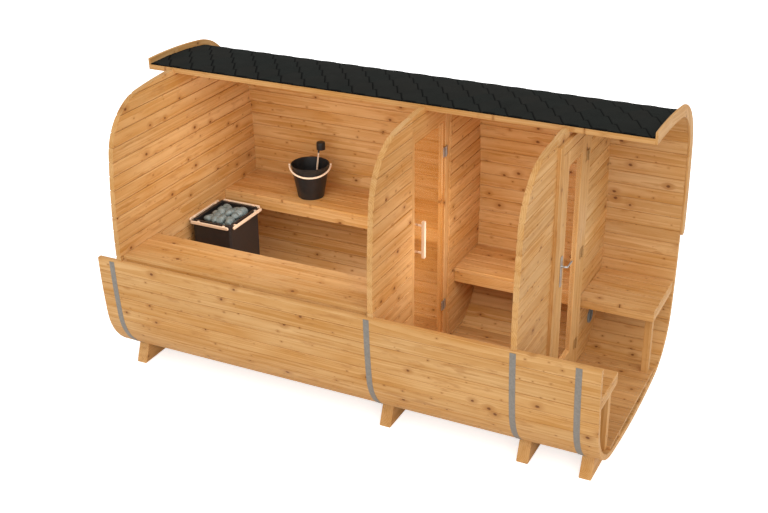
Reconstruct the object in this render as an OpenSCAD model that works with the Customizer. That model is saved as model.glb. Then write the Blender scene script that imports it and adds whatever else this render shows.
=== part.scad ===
// Cube sauna of spruce staves with a sauna room, a dressing room and a covered terrace.
// It is the cutaway version: the near side is open above waist height and the roof
// stops near the ridge line, so the rooms can be seen and reached from that side.
// X runs along the length towards the terrace, Y across towards the whole far side, Z up.

/* [Body] */
// Overall width of the stave body
body_w = 2040; // [1800:10:2500]
// Overall height of the stave body
body_h = 2240; // [2000:10:2700]
// Thickness of the wall staves
stave_t = 42; // [28:1:60]
// Radius of the slightly bowed side walls
side_r = 5500; // [4500:100:9000]
// Radius of the slightly bowed roof and bottom
cap_r = 4400; // [3800:100:9000]
// Outer radius of the four rounded corners
corner_r = 470; // [380:5:600]
// Clear height under the middle of the body
ground_gap = 75; // [50:1:150]
// Height of the sawn edge of the near wall above the ground
near_cut_h = 1027; // [900:1:1100]
// Distance of the sawn roof edge from the ridge line
roof_cut_y = 130; // [60:1:240]

/* [Rooms] */
// Distance of the back end wall from the stave ends
back_eave = 170; // [80:1:300]
// Clear length of the sauna room
sauna_len = 2100; // [1500:10:3000]
// Clear length of the dressing room
dressing_len = 1018; // [800:1:1600]
// Length of the terrace, from the front wall to the stave ends
terrace_len = 586; // [520:1:1200]
// Thickness of the end wall and of the two inner walls
wall_t = 42; // [28:1:60]
// Depth of the groove in the staves that holds each wall
groove = 28; // [10:1:30]
// Height of the floor boards' upper side above the ground
floor_h = 180; // [165:1:260]
// Thickness of the floor boards
floor_t = 21; // [15:1:28]
// Thickness of the joists under the floor
joist_w = 45; // [30:1:60]
// Place of the joists, as a share of the floor's half width
joist_share = 0.6; // [0.3:0.05:0.8]

/* [Roof covering] */
// Thickness of the shingle layer
shingle_t = 8; // [4:1:15]
// Height of the shingles' lower edge on the far wall
shingle_foot_h = 1190; // [900:10:1500]
// Thickness of the curved edge boards at both roof ends
trim_t = 18; // [12:1:45]
// How far an edge board stands out past the staves
trim_proud = 50; // [20:1:80]

/* [Feet and bands] */
// Width of each cradle foot along the body
foot_w = 90; // [60:1:150]
// Half length of a cradle foot where it meets the ground
foot_half = 786; // [600:1:850]
// Half length of a cradle foot where it meets the body
foot_top_half = 725; // [560:1:780]
// Distance of the first foot and band from the back stave ends
foot_back = 130; // [80:1:400]
// Distance of the last foot from the terrace stave ends
foot_front = 122; // [80:1:300]
// How far the third foot stands past the middle of the front wall
foot_third_shift = 22; // [0:1:40]
// Distance of the last band from the terrace stave ends
band_front = 150; // [60:1:300]
// How far the second band stands behind the middle of the sauna wall
band_second_shift = 27; // [0:1:60]
// Width of each steel band
band_w = 45; // [25:1:60]
// Thickness of each steel band
band_t = 2; // [1:0.5:4]
// Distance of a band's end from the sawn edge
band_end_gap = 12; // [5:1:60]

/* [Doors] */
// Outer width of both door frames
frame_w = 700; // [650:5:800]
// Width of the frame's face
jamb_w = 72; // [45:1:90]
// Height of the frame's sill
sill_h = 35; // [25:1:60]
// Height of the sill's underside above the floor
sill_lift = 35; // [5:1:60]
// Gap between a door and its frame
door_gap = 5; // [3:0.5:8]
// Width of the door stops
stop_w = 14; // [10:1:20]
// Height of the wall strip over the sauna door, at the middle
sauna_header = 134; // [60:1:400]
// Depth of the sauna door's frame
sauna_frame_d = 56; // [45:1:80]
// How far that frame stands back from the dressing room side
sauna_frame_back = 14; // [0:1:20]
// Thickness of the glass door
glass_t = 8; // [6:1:12]
// Height of the wall strip over the front door, at the middle
front_header = 42; // [36:1:400]
// How far the front door's frame stands out on the terrace side
front_frame_proud = 25; // [10:1:40]
// Thickness of the front door's leaf
leaf_t = 40; // [34:1:50]
// Width of the leaf's stiles
stile_w = 124; // [90:1:140]
// Height of the leaf's top rail
top_rail_h = 120; // [90:1:160]
// Height of the leaf's bottom rail
bottom_rail_h = 180; // [100:1:300]
// Thickness of the pane in the leaf
pane_t = 14; // [6:1:24]

/* [Door fittings] */
// Height of the lower sauna door hinge above the ground
hinge_low_h = 519; // [400:1:800]
// Height of the upper sauna door hinge above the ground
hinge_high_h = 1822; // [1400:1:1850]
// Distance of the front door's outer hinges from the ends of its leaf
hinge_inset = 180; // [100:5:300]
// Height of one hinge
hinge_h = 80; // [50:1:110]
// Width of one hinge plate
hinge_plate_w = 34; // [24:1:50]
// Thickness of a hinge plate
hinge_plate_t = 4; // [2:0.5:6]
// Radius of a hinge barrel
barrel_r = 6; // [4:0.5:8]
// Height of the lever's axis above the ground
lever_h = 1304; // [1000:1:1400]
// Height of the handle plates
plate_h = 240; // [180:1:280]
// Width of the handle plates
plate_w = 40; // [30:1:50]
// Thickness of the handle plates
plate_t = 6; // [3:0.5:10]
// Radius of the lever's round bar
lever_r = 8; // [6:0.5:10]
// Length of the lever's grip
grip_len = 115; // [90:1:130]
// Distance of the grip from the plate
grip_out = 45; // [35:1:60]
// Radius of the lever's spindle
spindle_r = 5; // [4:0.5:6]
// Running clearance round the spindle
spindle_gap = 0.08; // [0.05:0.01:0.1]
// Length of the wooden pull bars on the glass door
pull_len = 300; // [200:10:500]
// Thickness of the wooden pull bars
pull_t = 28; // [20:1:40]
// Free space between a pull bar and the glass
pull_out = 30; // [25:1:60]
// Distance of the pull bars from the door's free edge
pull_edge = 60; // [40:1:120]
// Distance of the pegs from the ends of a pull bar
peg_inset = 40; // [20:1:80]

/* [Benches] */
// Height of the sauna benches
sauna_bench_h = 1070; // [700:1:1150]
// Depth of the far sauna bench
sauna_far_depth = 510; // [400:1:600]
// Depth of the near sauna bench
sauna_near_depth = 448; // [350:1:560]
// Height of the dressing room bench
dressing_bench_h = 768; // [500:1:900]
// Depth of the dressing room bench
dressing_depth = 505; // [350:1:600]
// Height of the terrace benches
terrace_bench_h = 772; // [500:1:900]
// Depth of the far terrace bench
terrace_far_depth = 566; // [350:1:600]
// Depth of the near terrace bench
terrace_near_depth = 410; // [350:1:560]
// Distance of the terrace floor and benches from the stave ends
terrace_inset = 8; // [5:1:60]
// Thickness of the seat boards
seat_t = 28; // [20:1:40]
// Height of the front boards and bearers under the indoor seats
apron_h = 90; // [60:1:140]
// Height of the front boards and bearers under the terrace seats
terrace_apron_h = 62; // [50:1:140]
// Thickness of the front boards and bearers
apron_t = 28; // [20:1:45]
// Width of the terrace bench legs
leg_w = 56; // [40:1:80]
// Distance of the far bench's leg from the front edge of its seat
far_leg_back = 100; // [35:1:150]
// Distance of the near bench's leg from the front edge of its seat
near_leg_back = 28; // [20:1:150]
// Gap left between fitted pieces
fit_gap = 1; // [0.5:0.5:4]

/* [Heater] */
// Width of the heater along the body
heater_w = 362; // [300:1:500]
// Depth of the heater across the body
heater_d = 438; // [300:1:500]
// Height of the heater above the floor
heater_h = 842; // [600:1:900]
// Gap between the heater and the end wall
heater_wall_gap = 39; // [38:1:200]
// Gap between the heater and the far bench
heater_bench_gap = 122; // [60:1:250]
// Height of the stone heap over the heater's rim
stone_rise = 30; // [10:1:80]
// Width of the step round the top of the heap
stone_slope = 45; // [20:1:90]
// Thickness of the heater's steel casing
casing_t = 4; // [2:0.5:10]
// Depth of the stone space
stone_depth = 260; // [100:1:400]
// Width of the slanted faces at the heater's upright corners, along each side
heater_cut = 14; // [6:1:40]
// Thickness of the rail bars round the heater
rail_t = 14; // [10:1:20]
// Height of the rail bars
rail_h = 26; // [15:1:40]
// Gap between the rail bars and the heater
rail_gap = 23; // [5:1:24]
// Length of the blocks that hold the rail bars
bracket_len = 20; // [10:1:40]
// Distance of those blocks from the heater's corners
bracket_inset = 60; // [30:1:120]

/* [Bucket and vent] */
// Distance of the bucket from the end wall
bucket_x = 740; // [200:1:1800]
// Distance of the bucket's middle from the front edge of the bench
bucket_back = 189; // [175:1:320]
// Height of the bucket
bucket_h = 290; // [230:1:340]
// Radius of the bucket's rim
bucket_top_r = 162; // [135:1:170]
// Radius of the bucket's base
bucket_base_r = 110; // [90:1:125]
// Wall thickness of the bucket
bucket_t = 6; // [4:1:10]
// Radius of the bucket's round bail
bail_r = 8; // [5:0.5:10]
// Gap between the bail and the rim
bail_gap = 2; // [1:0.5:6]
// Distance of the bail's pins below the rim
pin_drop = 12; // [10:1:30]
// Radius of the bail's pins
pin_r = 5; // [3:0.5:6]
// Running clearance round the bail's pins
pin_gap = 0.1; // [0.05:0.01:0.3]
// Angle of the bail's pins to the length of the body, seen from above
bucket_turn = 26; // [0:1:90]
// Radius of the ladle's handle
ladle_r = 8; // [5:0.5:10]
// Length of the ladle's handle
ladle_len = 372; // [340:1:420]
// Radius of the ladle's cup
cup_r = 38; // [30:1:45]
// Depth of the ladle's cup
cup_h = 66; // [45:1:80]
// Radius of the wall vent
vent_r = 60; // [40:1:80]
// Height of the wall vent above the ground
vent_h = 455; // [350:1:700]
// Distance of the wall vent from the middle
vent_y = 712; // [500:1:800]
// How far the vent stands out from the wall
vent_t = 12; // [6:1:25]

/* [Hidden] */
$fn = 48;
eps = 1;
// Gap between solids that share a node but are separate pieces
part_gap = 0.5;

// Colours
spruce = "#dba465";
spruce_dark = "#c48a50";
slate = "#2a2c2b";
galvanised = "#8d8984";
chrome = "#c9cdd0";

// The cross-section is four bowed sides joined by four rounded corners, all tangent.
// A point on it is found from the direction of its outward normal.
half_w = body_w / 2;
half_h = body_h / 2;
mid_h = ground_gap + half_h;
side_c = [half_w - side_r, 0];
cap_c = [0, half_h - cap_r];
side_reach = side_r - corner_r;
cap_reach = cap_r - corner_r;
c_span = norm(cap_c - side_c);
c_dir = (cap_c - side_c) / c_span;
c_along = (c_span * c_span + side_reach * side_reach - cap_reach * cap_reach) / (2 * c_span);
c_off = sqrt(side_reach * side_reach - c_along * c_along);
corner_c = side_c + c_dir * c_along + [-c_dir[1], c_dir[0]] * c_off;
side_end = atan2(corner_c[1] - side_c[1], corner_c[0] - side_c[0]);
cap_start = atan2(corner_c[1] - cap_c[1], corner_c[0] - cap_c[0]);

function arc_centre(q) = q < side_end ? side_c : q < cap_start ? corner_c : cap_c;
function arc_radius(q) = q < side_end ? side_r : q < cap_start ? corner_r : cap_r;
function quadrant_point(q, inset) = arc_centre(q) + (arc_radius(q) - inset) * [cos(q), sin(q)];
// Point [y, z] of the section with its normal at angle a, moved inwards by inset
function skin(a, inset) =
    let (p = quadrant_point(atan2(abs(sin(a)), abs(cos(a))), inset))
    [p[0] * sign_of(cos(a)), mid_h + p[1] * sign_of(sin(a))];
function sign_of(v) = v < 0 ? -1 : 1;

// Normal angles at which the section is broken into flats, over one and a half turns
side_steps = 4;
corner_steps = 10;
cap_steps = 4;
quarter = concat(
    [for (i = [0:side_steps - 1]) side_end * i / side_steps],
    [for (i = [0:corner_steps - 1]) side_end + (cap_start - side_end) * i / corner_steps],
    [for (i = [0:cap_steps - 1]) cap_start + (90 - cap_start) * i / cap_steps]);
half_turn = concat(quarter, [90], [for (i = [len(quarter) - 1:-1:1]) 180 - quarter[i]]);
stations = [for (k = [0:2]) for (a = half_turn) a + 180 * k];
function between(a0, a1) =
    concat([a0], [for (a = stations) if (a > a0 + 0.05 && a < a1 - 0.05) a], [a1]);
function strip(a0, a1, outer, inner) =
    let (s = between(a0, a1), n = len(s))
    concat([for (a = s) skin(a, outer)], [for (i = [n - 1:-1:0]) skin(s[i], inner)]);
function full_outline(inset) = [for (a = stations) if (a < 360) skin(a, inset)];
// Half width inside the staves at height z, and the least of it over a span of heights
inner_line = [for (a = between(270, 450)) let (q = skin(a, stave_t)) [q[1], q[0]]];
function inner_y(z) = lookup(z, inner_line);
function inner_y_over(z0, z1) = min(inner_y(z0), inner_y(z1));

// Normal angles of the ends of each run of staves
near_top = 180 + asin((mid_h - near_cut_h) / side_r);
near_side_end = 180 + side_end;
bottom_near = 270 - (90 - cap_start);
bottom_far = 270 + (90 - cap_start);
far_low = 360 - side_end;
far_high = 360 + side_end;
roof_far = 360 + cap_start;
roof_near = 450 + asin(roof_cut_y / cap_r);
shingle_foot = 360 + asin((shingle_foot_h - mid_h) / side_r);

// Places along the length
end_x0 = back_eave;
end_x1 = end_x0 + wall_t;
part_x0 = end_x1 + sauna_len;
part_x1 = part_x0 + wall_t;
front_x0 = part_x1 + dressing_len;
front_x1 = front_x0 + wall_t;
body_len = front_x1 + terrace_len;
deck_x1 = body_len - terrace_inset;
foot_x = [foot_back, (part_x0 + part_x1) / 2, (front_x0 + front_x1) / 2 + foot_third_shift,
          body_len - foot_front];
band_x = [foot_back, (part_x0 + part_x1) / 2 - band_second_shift, (front_x0 + front_x1) / 2, body_len - band_front];
band_near = near_top + asin(band_end_gap / side_r);
band_far = shingle_foot - asin(band_end_gap / side_r);

// The origin is under the middle of the whole object's box
far_reach = skin(360, -trim_proud)[0];
near_reach = -skin(band_near, -band_t)[0];
mid_y = (far_reach - near_reach) / 2;

// Doorways
wall_inset = stave_t - groove;
ceiling_h = mid_h + half_h - stave_t;
frame_half = frame_w / 2;
frame_foot = floor_h + sill_lift;
clear_half = frame_half - jamb_w;
door_foot = frame_foot + sill_h + door_gap;
sauna_frame_top = ceiling_h - sauna_header;
front_frame_top = ceiling_h - front_header;
sauna_frame_x1 = part_x1 - sauna_frame_back;
sauna_frame_x0 = sauna_frame_x1 - sauna_frame_d;
sauna_glass_x0 = sauna_frame_x1 - glass_t;
front_frame_x1 = front_x1 + front_frame_proud;
leaf_x0 = front_frame_x1 - leaf_t;
door_half = clear_half - door_gap;
sauna_door_top = sauna_frame_top - jamb_w - door_gap;
leaf_top = front_frame_top - jamb_w - door_gap;
// Both doors turn about an upright axis just outside their far edge
sauna_pin = [sauna_frame_x1 + barrel_r + part_gap, clear_half - door_gap / 2];
front_pin = [front_frame_x1 + barrel_r + part_gap, clear_half - door_gap / 2];
knuckle = hinge_h / 4;
sauna_hinges = [hinge_low_h, hinge_high_h];
front_hinges = [door_foot + hinge_inset, (door_foot + leaf_top) / 2, leaf_top - hinge_inset];

// Lever
lever_y = -door_half + stile_w / 2;
plate_z0 = lever_h - plate_h * 2 / 3;
bore_r = spindle_r + spindle_gap;

// Half width of the floors
deck_y = inner_y(floor_h - floor_t) - fit_gap;

// Benches
sauna_far_y = inner_y(sauna_bench_h) - sauna_far_depth;
sauna_near_y = -inner_y(sauna_bench_h) + sauna_near_depth;
dressing_y = inner_y(dressing_bench_h) - dressing_depth;
terrace_far_y = inner_y(terrace_bench_h) - terrace_far_depth;
terrace_near_y = -inner_y(terrace_bench_h) + terrace_near_depth;

// Heater
heater_x0 = end_x1 + heater_wall_gap;
heater_y1 = sauna_far_y - heater_bench_gap;
heater_y0 = heater_y1 - heater_d;
heater_top = floor_h + heater_h;

// Bucket
bucket_c = [end_x1 + bucket_x, sauna_far_y + bucket_back, sauna_bench_h];
bail_z = bucket_h - pin_drop;
bail_half = bucket_top_r + bail_r + bail_gap;
bucket_taper = (bucket_top_r - bucket_base_r) / bucket_h;
// The bail hangs this share of the way from level down to where it would meet the bucket's side
bail_share = 0.765;
bail_slant = sqrt(1 + bucket_taper * bucket_taper);
bail_hang = bail_share * (atan(bucket_taper)
    + acos((bucket_base_r + bucket_taper * bail_z + bail_r * bail_slant) / (bail_half * bail_slant)));
// How far the bail's eyes stand out round its bar
eye_rim = 3;

// ---------------------------------------------------------------- helpers

module place() {
    translate([-body_len / 2, -mid_y, 0]) children();
}

// Outline [y, z] run along the length from x0 to x1
module run(points, x0, x1) {
    translate([x0, 0, 0]) rotate([90, 0, 90]) linear_extrude(height = x1 - x0) polygon(points);
}

module block(x0, x1, y0, y1, z0, z1) {
    translate([x0, y0, z0]) cube([x1 - x0, y1 - y0, z1 - z0]);
}

module upright(x, y, z0, z1, r) {
    translate([x, y, z0]) cylinder(r = r, h = z1 - z0);
}

module along_x(x0, x1, y, z, r) {
    translate([x0, y, z]) rotate([0, 90, 0]) cylinder(r = r, h = x1 - x0);
}

// ---------------------------------------------------------------- stave shell

module wall_blanks() {
    for (x = [end_x0, part_x0, front_x0])
        run(full_outline(wall_inset), x, x + wall_t);
}

module staves(a0, a1) {
    place() color(spruce) difference() {
        run(strip(a0, a1, 0, stave_t), 0, body_len);
        wall_blanks();
    }
}

module near_wall_staves() staves(near_top, near_side_end);
module near_corner_staves() staves(near_side_end, bottom_near);
module bottom_staves() staves(bottom_near, bottom_far);
module far_corner_staves() staves(bottom_far, far_low);
module far_wall_staves() staves(far_low, far_high);
module eaves_corner_staves() staves(far_high, roof_far);
module roof_staves() staves(roof_far, roof_near);

module roof_shingles() {
    place() color(slate)
        run(strip(shingle_foot, roof_near, -shingle_t, 0), 0, body_len);
}

// A curved board with a round foot, at each end of the roof
module edge_board(x0) {
    mid_inset = (stave_t - trim_proud) / 2;
    half_board = (stave_t + trim_proud) / 2;
    foot = skin(shingle_foot, mid_inset);
    steps = 8;
    round_foot = [for (i = [1:steps - 1]) let (a = 180 + 180 * i / steps)
        foot + half_board * [cos(a), sin(a)]];
    run(concat(strip(shingle_foot, roof_near, -trim_proud, stave_t), round_foot), x0, x0 + trim_t);
}

module roof_edge_boards() {
    place() color(spruce) {
        edge_board(-trim_t);
        edge_board(body_len);
    }
}

// ---------------------------------------------------------------- feet and bands

module cradle_foot(x) {
    q = acos((foot_top_half - corner_c[0]) / (corner_r + band_t));
    saddle = [for (a = between(180 + q, 360 - q)) skin(a, -band_t)];
    run(concat([[foot_half, 0], [-foot_half, 0]], saddle), x - foot_w / 2, x + foot_w / 2);
}

module cradle_feet() {
    place() color(spruce_dark) for (x = foot_x) cradle_foot(x);
}

module steel_bands() {
    place() color(galvanised) for (x = band_x)
        run(strip(band_near, band_far, -band_t, 0), x - band_w / 2, x + band_w / 2);
}

// ---------------------------------------------------------------- walls

module end_wall() {
    place() color(spruce) run(full_outline(wall_inset), end_x0, end_x1);
}

module wall_part(x0, y0, y1, z0, z1) {
    place() color(spruce) intersection() {
        run(full_outline(wall_inset), x0, x0 + wall_t);
        block(x0 - eps, x0 + wall_t + eps, y0, y1, z0, z1);
    }
}

// Strips of wall over and under a doorway
module wall_centre(x0, frame_top) {
    place() color(spruce) intersection() {
        run(full_outline(wall_inset), x0, x0 + wall_t);
        union() {
            block(x0 - eps, x0 + wall_t + eps, -frame_half, frame_half, frame_top, body_h * 2);
            block(x0 - eps, x0 + wall_t + eps, -frame_half, frame_half, 0, frame_foot);
        }
    }
}

module sauna_wall_near() wall_part(part_x0, -body_w, -frame_half, 0, body_h * 2);
module sauna_wall_far() wall_part(part_x0, frame_half, body_w, 0, body_h * 2);
module sauna_wall_centre() wall_centre(part_x0, sauna_frame_top);
module front_wall_near() wall_part(front_x0, -body_w, -frame_half, 0, body_h * 2);
module front_wall_far() wall_part(front_x0, frame_half, body_w, 0, body_h * 2);
module front_wall_centre() wall_centre(front_x0, front_frame_top);

// ---------------------------------------------------------------- doors

// Two jambs, a head and a sill, with a stop inside them behind the door
module door_frame(x0, x1, top, stop_x0, stop_x1) {
    g = part_gap;
    block(x0, x1, -frame_half, -clear_half, frame_foot, top);
    block(x0, x1, clear_half, frame_half, frame_foot, top);
    block(x0, x1, -clear_half + g, clear_half - g, top - jamb_w, top);
    block(x0, x1, -clear_half + g, clear_half - g, frame_foot, frame_foot + sill_h);
    for (s = [-1, 1])
        block(stop_x0, stop_x1, min(s * (clear_half - g), s * (clear_half - stop_w)),
              max(s * (clear_half - g), s * (clear_half - stop_w)),
              frame_foot + sill_h + g, top - jamb_w - stop_w - g);
    block(stop_x0, stop_x1, -clear_half + g, clear_half - g, top - jamb_w - stop_w, top - jamb_w - g);
}

module sauna_door_frame() {
    place() color(spruce) door_frame(sauna_frame_x0, sauna_frame_x1, sauna_frame_top,
        sauna_glass_x0 - door_gap - stop_w, sauna_glass_x0 - door_gap);
}

module sauna_door_glass() {
    place() color("#a9c4bd", 0.3)
        block(sauna_glass_x0, sauna_frame_x1, -door_half, door_half, door_foot, sauna_door_top);
}

// A wooden bar on two pegs, on each side of the glass near its free edge
module pull_bar(face_x, side) {
    y = -door_half + pull_edge;
    z0 = lever_h - pull_len / 2;
    bar_x = face_x + side * pull_out;
    bar_x1 = bar_x + side * pull_t;
    peg_x1 = bar_x + side * eps;
    block(min(bar_x, bar_x1), max(bar_x, bar_x1), y - pull_t / 2, y + pull_t / 2, z0, z0 + pull_len);
    for (z = [z0 + peg_inset, z0 + pull_len - peg_inset])
        along_x(min(face_x, peg_x1), max(face_x, peg_x1), y, z, pull_t / 3);
}

module sauna_door_pulls() {
    place() color(spruce_dark) {
        pull_bar(sauna_frame_x1, 1);
        pull_bar(sauna_glass_x0, -1);
    }
}

// Half a butt hinge: a plate on the face at face_x, and an arm and knuckle for each span
module hinge_half(pin, face_x, z, side, spans) {
    y0 = pin[1] + side * (barrel_r + part_gap);
    y1 = y0 + side * hinge_plate_w;
    face_x1 = face_x + hinge_plate_t;
    block(face_x, face_x1, min(y0, y1), max(y0, y1), z - hinge_h / 2, z + hinge_h / 2);
    for (s = spans) {
        upright(pin[0], pin[1], z + s[0], z + s[1], barrel_r);
        block(face_x, face_x1, min(pin[1], y0), max(pin[1], y0), z + s[0], z + s[1]);
    }
}

// The fixed half has the outer knuckles, the moving half the middle one
outer_spans = [[-hinge_h / 2, -hinge_h / 2 + knuckle], [hinge_h / 2 - knuckle, hinge_h / 2]];
middle_span = [[-hinge_h / 2 + knuckle + part_gap, hinge_h / 2 - knuckle - part_gap]];

module sauna_hinge_plates() {
    place() color(chrome)
        for (z = sauna_hinges) hinge_half(sauna_pin, sauna_frame_x1, z, 1, outer_spans);
}

module sauna_hinge_clamps() {
    place() color(chrome)
        for (z = sauna_hinges) hinge_half(sauna_pin, sauna_frame_x1, z, -1, middle_span);
}

module front_hinge_plates() {
    place() color(galvanised)
        for (z = front_hinges) hinge_half(front_pin, front_frame_x1, z, 1, outer_spans);
}

module front_hinge_leaves() {
    place() color(galvanised)
        for (z = front_hinges) hinge_half(front_pin, front_frame_x1, z, -1, middle_span);
}

module front_door_frame() {
    place() color(spruce) door_frame(front_x0, front_frame_x1, front_frame_top,
        leaf_x0 - door_gap - stop_w, leaf_x0 - door_gap);
}

// Two stiles and two rails, with a bore for the lever's spindle in the near stile
module front_door_leaf() {
    rail_half = door_half - stile_w;
    place() color(spruce) {
        difference() {
            block(leaf_x0, front_frame_x1, -door_half, -rail_half, door_foot, leaf_top);
            along_x(leaf_x0 - eps, front_frame_x1 + eps, lever_y, lever_h, bore_r);
        }
        block(leaf_x0, front_frame_x1, rail_half, door_half, door_foot, leaf_top);
        for (z = [[leaf_top - top_rail_h, leaf_top], [door_foot, door_foot + bottom_rail_h]])
            block(leaf_x0, front_frame_x1, -rail_half + part_gap, rail_half - part_gap, z[0], z[1]);
    }
}

module front_door_pane() {
    rail_half = door_half - stile_w;
    mid_x = (leaf_x0 + front_frame_x1) / 2;
    place() color("#a9c4bd", 0.35)
        block(mid_x - pane_t / 2, mid_x + pane_t / 2, -rail_half, rail_half,
              door_foot + bottom_rail_h, leaf_top - top_rail_h);
}

// A long plate on each face of the leaf, bored for the spindle
module handle_plates() {
    place() color(chrome) difference() {
        for (x = [leaf_x0 - plate_t, front_frame_x1])
            block(x, x + plate_t, lever_y - plate_w / 2, lever_y + plate_w / 2,
                  plate_z0, plate_z0 + plate_h);
        along_x(leaf_x0 - plate_t - eps, front_frame_x1 + plate_t + eps, lever_y, lever_h, bore_r);
    }
}

// One spindle through the leaf, with a neck and a grip on each side
module door_lever() {
    out_x = front_frame_x1 + plate_t + part_gap;
    in_x = leaf_x0 - plate_t - part_gap;
    place() color(chrome) {
        along_x(in_x, out_x, lever_y, lever_h, spindle_r);
        along_x(out_x, out_x + grip_out, lever_y, lever_h, lever_r);
        along_x(in_x - grip_out, in_x, lever_y, lever_h, lever_r);
        for (x = [out_x + grip_out - lever_r, in_x - grip_out + lever_r])
            translate([x, lever_y - lever_r, lever_h]) rotate([-90, 0, 0])
                cylinder(r = lever_r, h = grip_len + lever_r);
    }
}

module wall_vent() {
    place() color(galvanised) along_x(front_x1, front_x1 + vent_t, vent_y, vent_h, vent_r);
}

// ---------------------------------------------------------------- floors

// Floor boards on two joists that stand on the bottom staves
module floor_deck(x0, x1) {
    under = floor_h - floor_t;
    joist_y = deck_y * joist_share;
    block(x0, x1, -deck_y, deck_y, under, floor_h);
    for (y = [-joist_y, joist_y])
        difference() {
            block(x0, x1, y - joist_w / 2, y + joist_w / 2, ground_gap, under - part_gap);
            run(strip(bottom_near, bottom_far, -ground_gap, stave_t), x0 - eps, x1 + eps);
        }
}

module sauna_floor() {
    place() color(spruce_dark) floor_deck(end_x1 + fit_gap, part_x0 - fit_gap);
}

module dressing_floor() {
    place() color(spruce_dark) floor_deck(part_x1 + fit_gap, front_x0 - fit_gap);
}

module terrace_floor() {
    place() color(spruce_dark) floor_deck(front_x1 + fit_gap, deck_x1);
}

// ---------------------------------------------------------------- benches

// Seat from front_y to the staves, a front board and bearers across its ends.
// side is 1 on the far side and -1 on the near side, drop the front board's height.
module bench(x0, x1, front_y, h, drop, side, bearers) {
    under = h - seat_t - part_gap;
    back_y = side * (inner_y_over(h - seat_t, h) - fit_gap);
    foot_y = side * (inner_y_over(under - drop, under) - fit_gap);
    apron_y = front_y + side * apron_t;
    block(x0, x1, min(front_y, back_y), max(front_y, back_y), h - seat_t, h);
    block(x0, x1, min(front_y, apron_y), max(front_y, apron_y), under - drop, under);
    for (x = bearers)
        block(x, x + apron_t, min(apron_y + side * part_gap, foot_y),
              max(apron_y + side * part_gap, foot_y), under - drop, under);
}

// A board along the staves under the back of a seat, between its bearers
module bench_ledge(h, drop, side, bearers) {
    under = h - seat_t - part_gap;
    foot_y = side * (inner_y_over(under - drop, under) - fit_gap);
    ledge_y = foot_y - side * apron_t;
    for (i = [0:len(bearers) - 2])
        block(bearers[i] + apron_t + part_gap, bearers[i + 1] - part_gap,
              min(ledge_y, foot_y), max(ledge_y, foot_y), under - drop, under);
}

module room_bench(x0, x1, front_y, h, side) {
    xa = x0 + fit_gap;
    xb = x1 - fit_gap;
    middle = (xa + xb - apron_t) / 2;
    bearers = [xa, middle, xb - apron_t];
    place() color(spruce) {
        bench(xa, xb, front_y, h, apron_h, side, bearers);
        bench_ledge(h, apron_h, side, bearers);
    }
}

module sauna_far_bench() room_bench(end_x1, part_x0, sauna_far_y, sauna_bench_h, 1);
module sauna_near_bench() room_bench(end_x1, part_x0, sauna_near_y, sauna_bench_h, -1);
module dressing_bench() room_bench(part_x1, front_x0, dressing_y, dressing_bench_h, 1);

// A terrace bench has a leg inside the corner at its open end
module terrace_bench(front_y, leg_back, side) {
    xa = front_x1 + fit_gap;
    leg_x1 = deck_x1 - apron_t - part_gap;
    leg_y0 = front_y + side * leg_back;
    leg_y1 = leg_y0 + side * leg_w;
    place() color(spruce) {
        bench(xa, deck_x1, front_y, terrace_bench_h, terrace_apron_h, side,
              [xa, deck_x1 - apron_t]);
        // its foot is cut to the floor and, beyond the floor's edge, to the staves
        difference() {
            block(leg_x1 - leg_w, leg_x1, min(leg_y0, leg_y1), max(leg_y0, leg_y1),
                  floor_h - floor_t, terrace_bench_h - seat_t - part_gap);
            block(front_x1, deck_x1, -deck_y - fit_gap, deck_y + fit_gap, floor_h - floor_t - eps, floor_h);
            run(strip(near_top, far_high, -ground_gap, stave_t + fit_gap), front_x1, deck_x1);
        }
    }
}

module terrace_far_bench() terrace_bench(terrace_far_y, far_leg_back, 1);
module terrace_near_bench() terrace_bench(terrace_near_y, near_leg_back, -1);

// ---------------------------------------------------------------- heater

// Rectangle with its four corners cut off, set in from the heater's outline
module heater_plan(inset, cut) {
    x0 = heater_x0 + inset;
    x1 = heater_x0 + heater_w - inset;
    y0 = heater_y0 + inset;
    y1 = heater_y1 - inset;
    polygon([[x0 + cut, y0], [x1 - cut, y0], [x1, y0 + cut], [x1, y1 - cut],
             [x1 - cut, y1], [x0 + cut, y1], [x0, y1 - cut], [x0, y0 + cut]]);
}

module heater_block(inset, cut, z0, z1) {
    translate([0, 0, z0]) linear_extrude(height = z1 - z0) heater_plan(inset, cut);
}

// A steel box with a shelf under the stones and an open top
module heater_body() {
    shelf_z = heater_top - stone_depth - casing_t;
    place() color("#1c1c1d") difference() {
        heater_block(0, heater_cut, floor_h, heater_top);
        heater_block(casing_t, heater_cut, floor_h + casing_t, shelf_z);
        heater_block(casing_t, heater_cut, shelf_z + casing_t, heater_top + eps);
    }
}

// The heap of stones fills the casing and stands over its rim
module heater_stones() {
    g = casing_t + fit_gap;
    place() color("#6d7670") {
        heater_block(g, heater_cut, heater_top - stone_depth, heater_top - casing_t);
        heater_block(g + stone_slope, heater_cut, heater_top - casing_t - eps, heater_top + stone_rise);
    }
}

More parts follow.
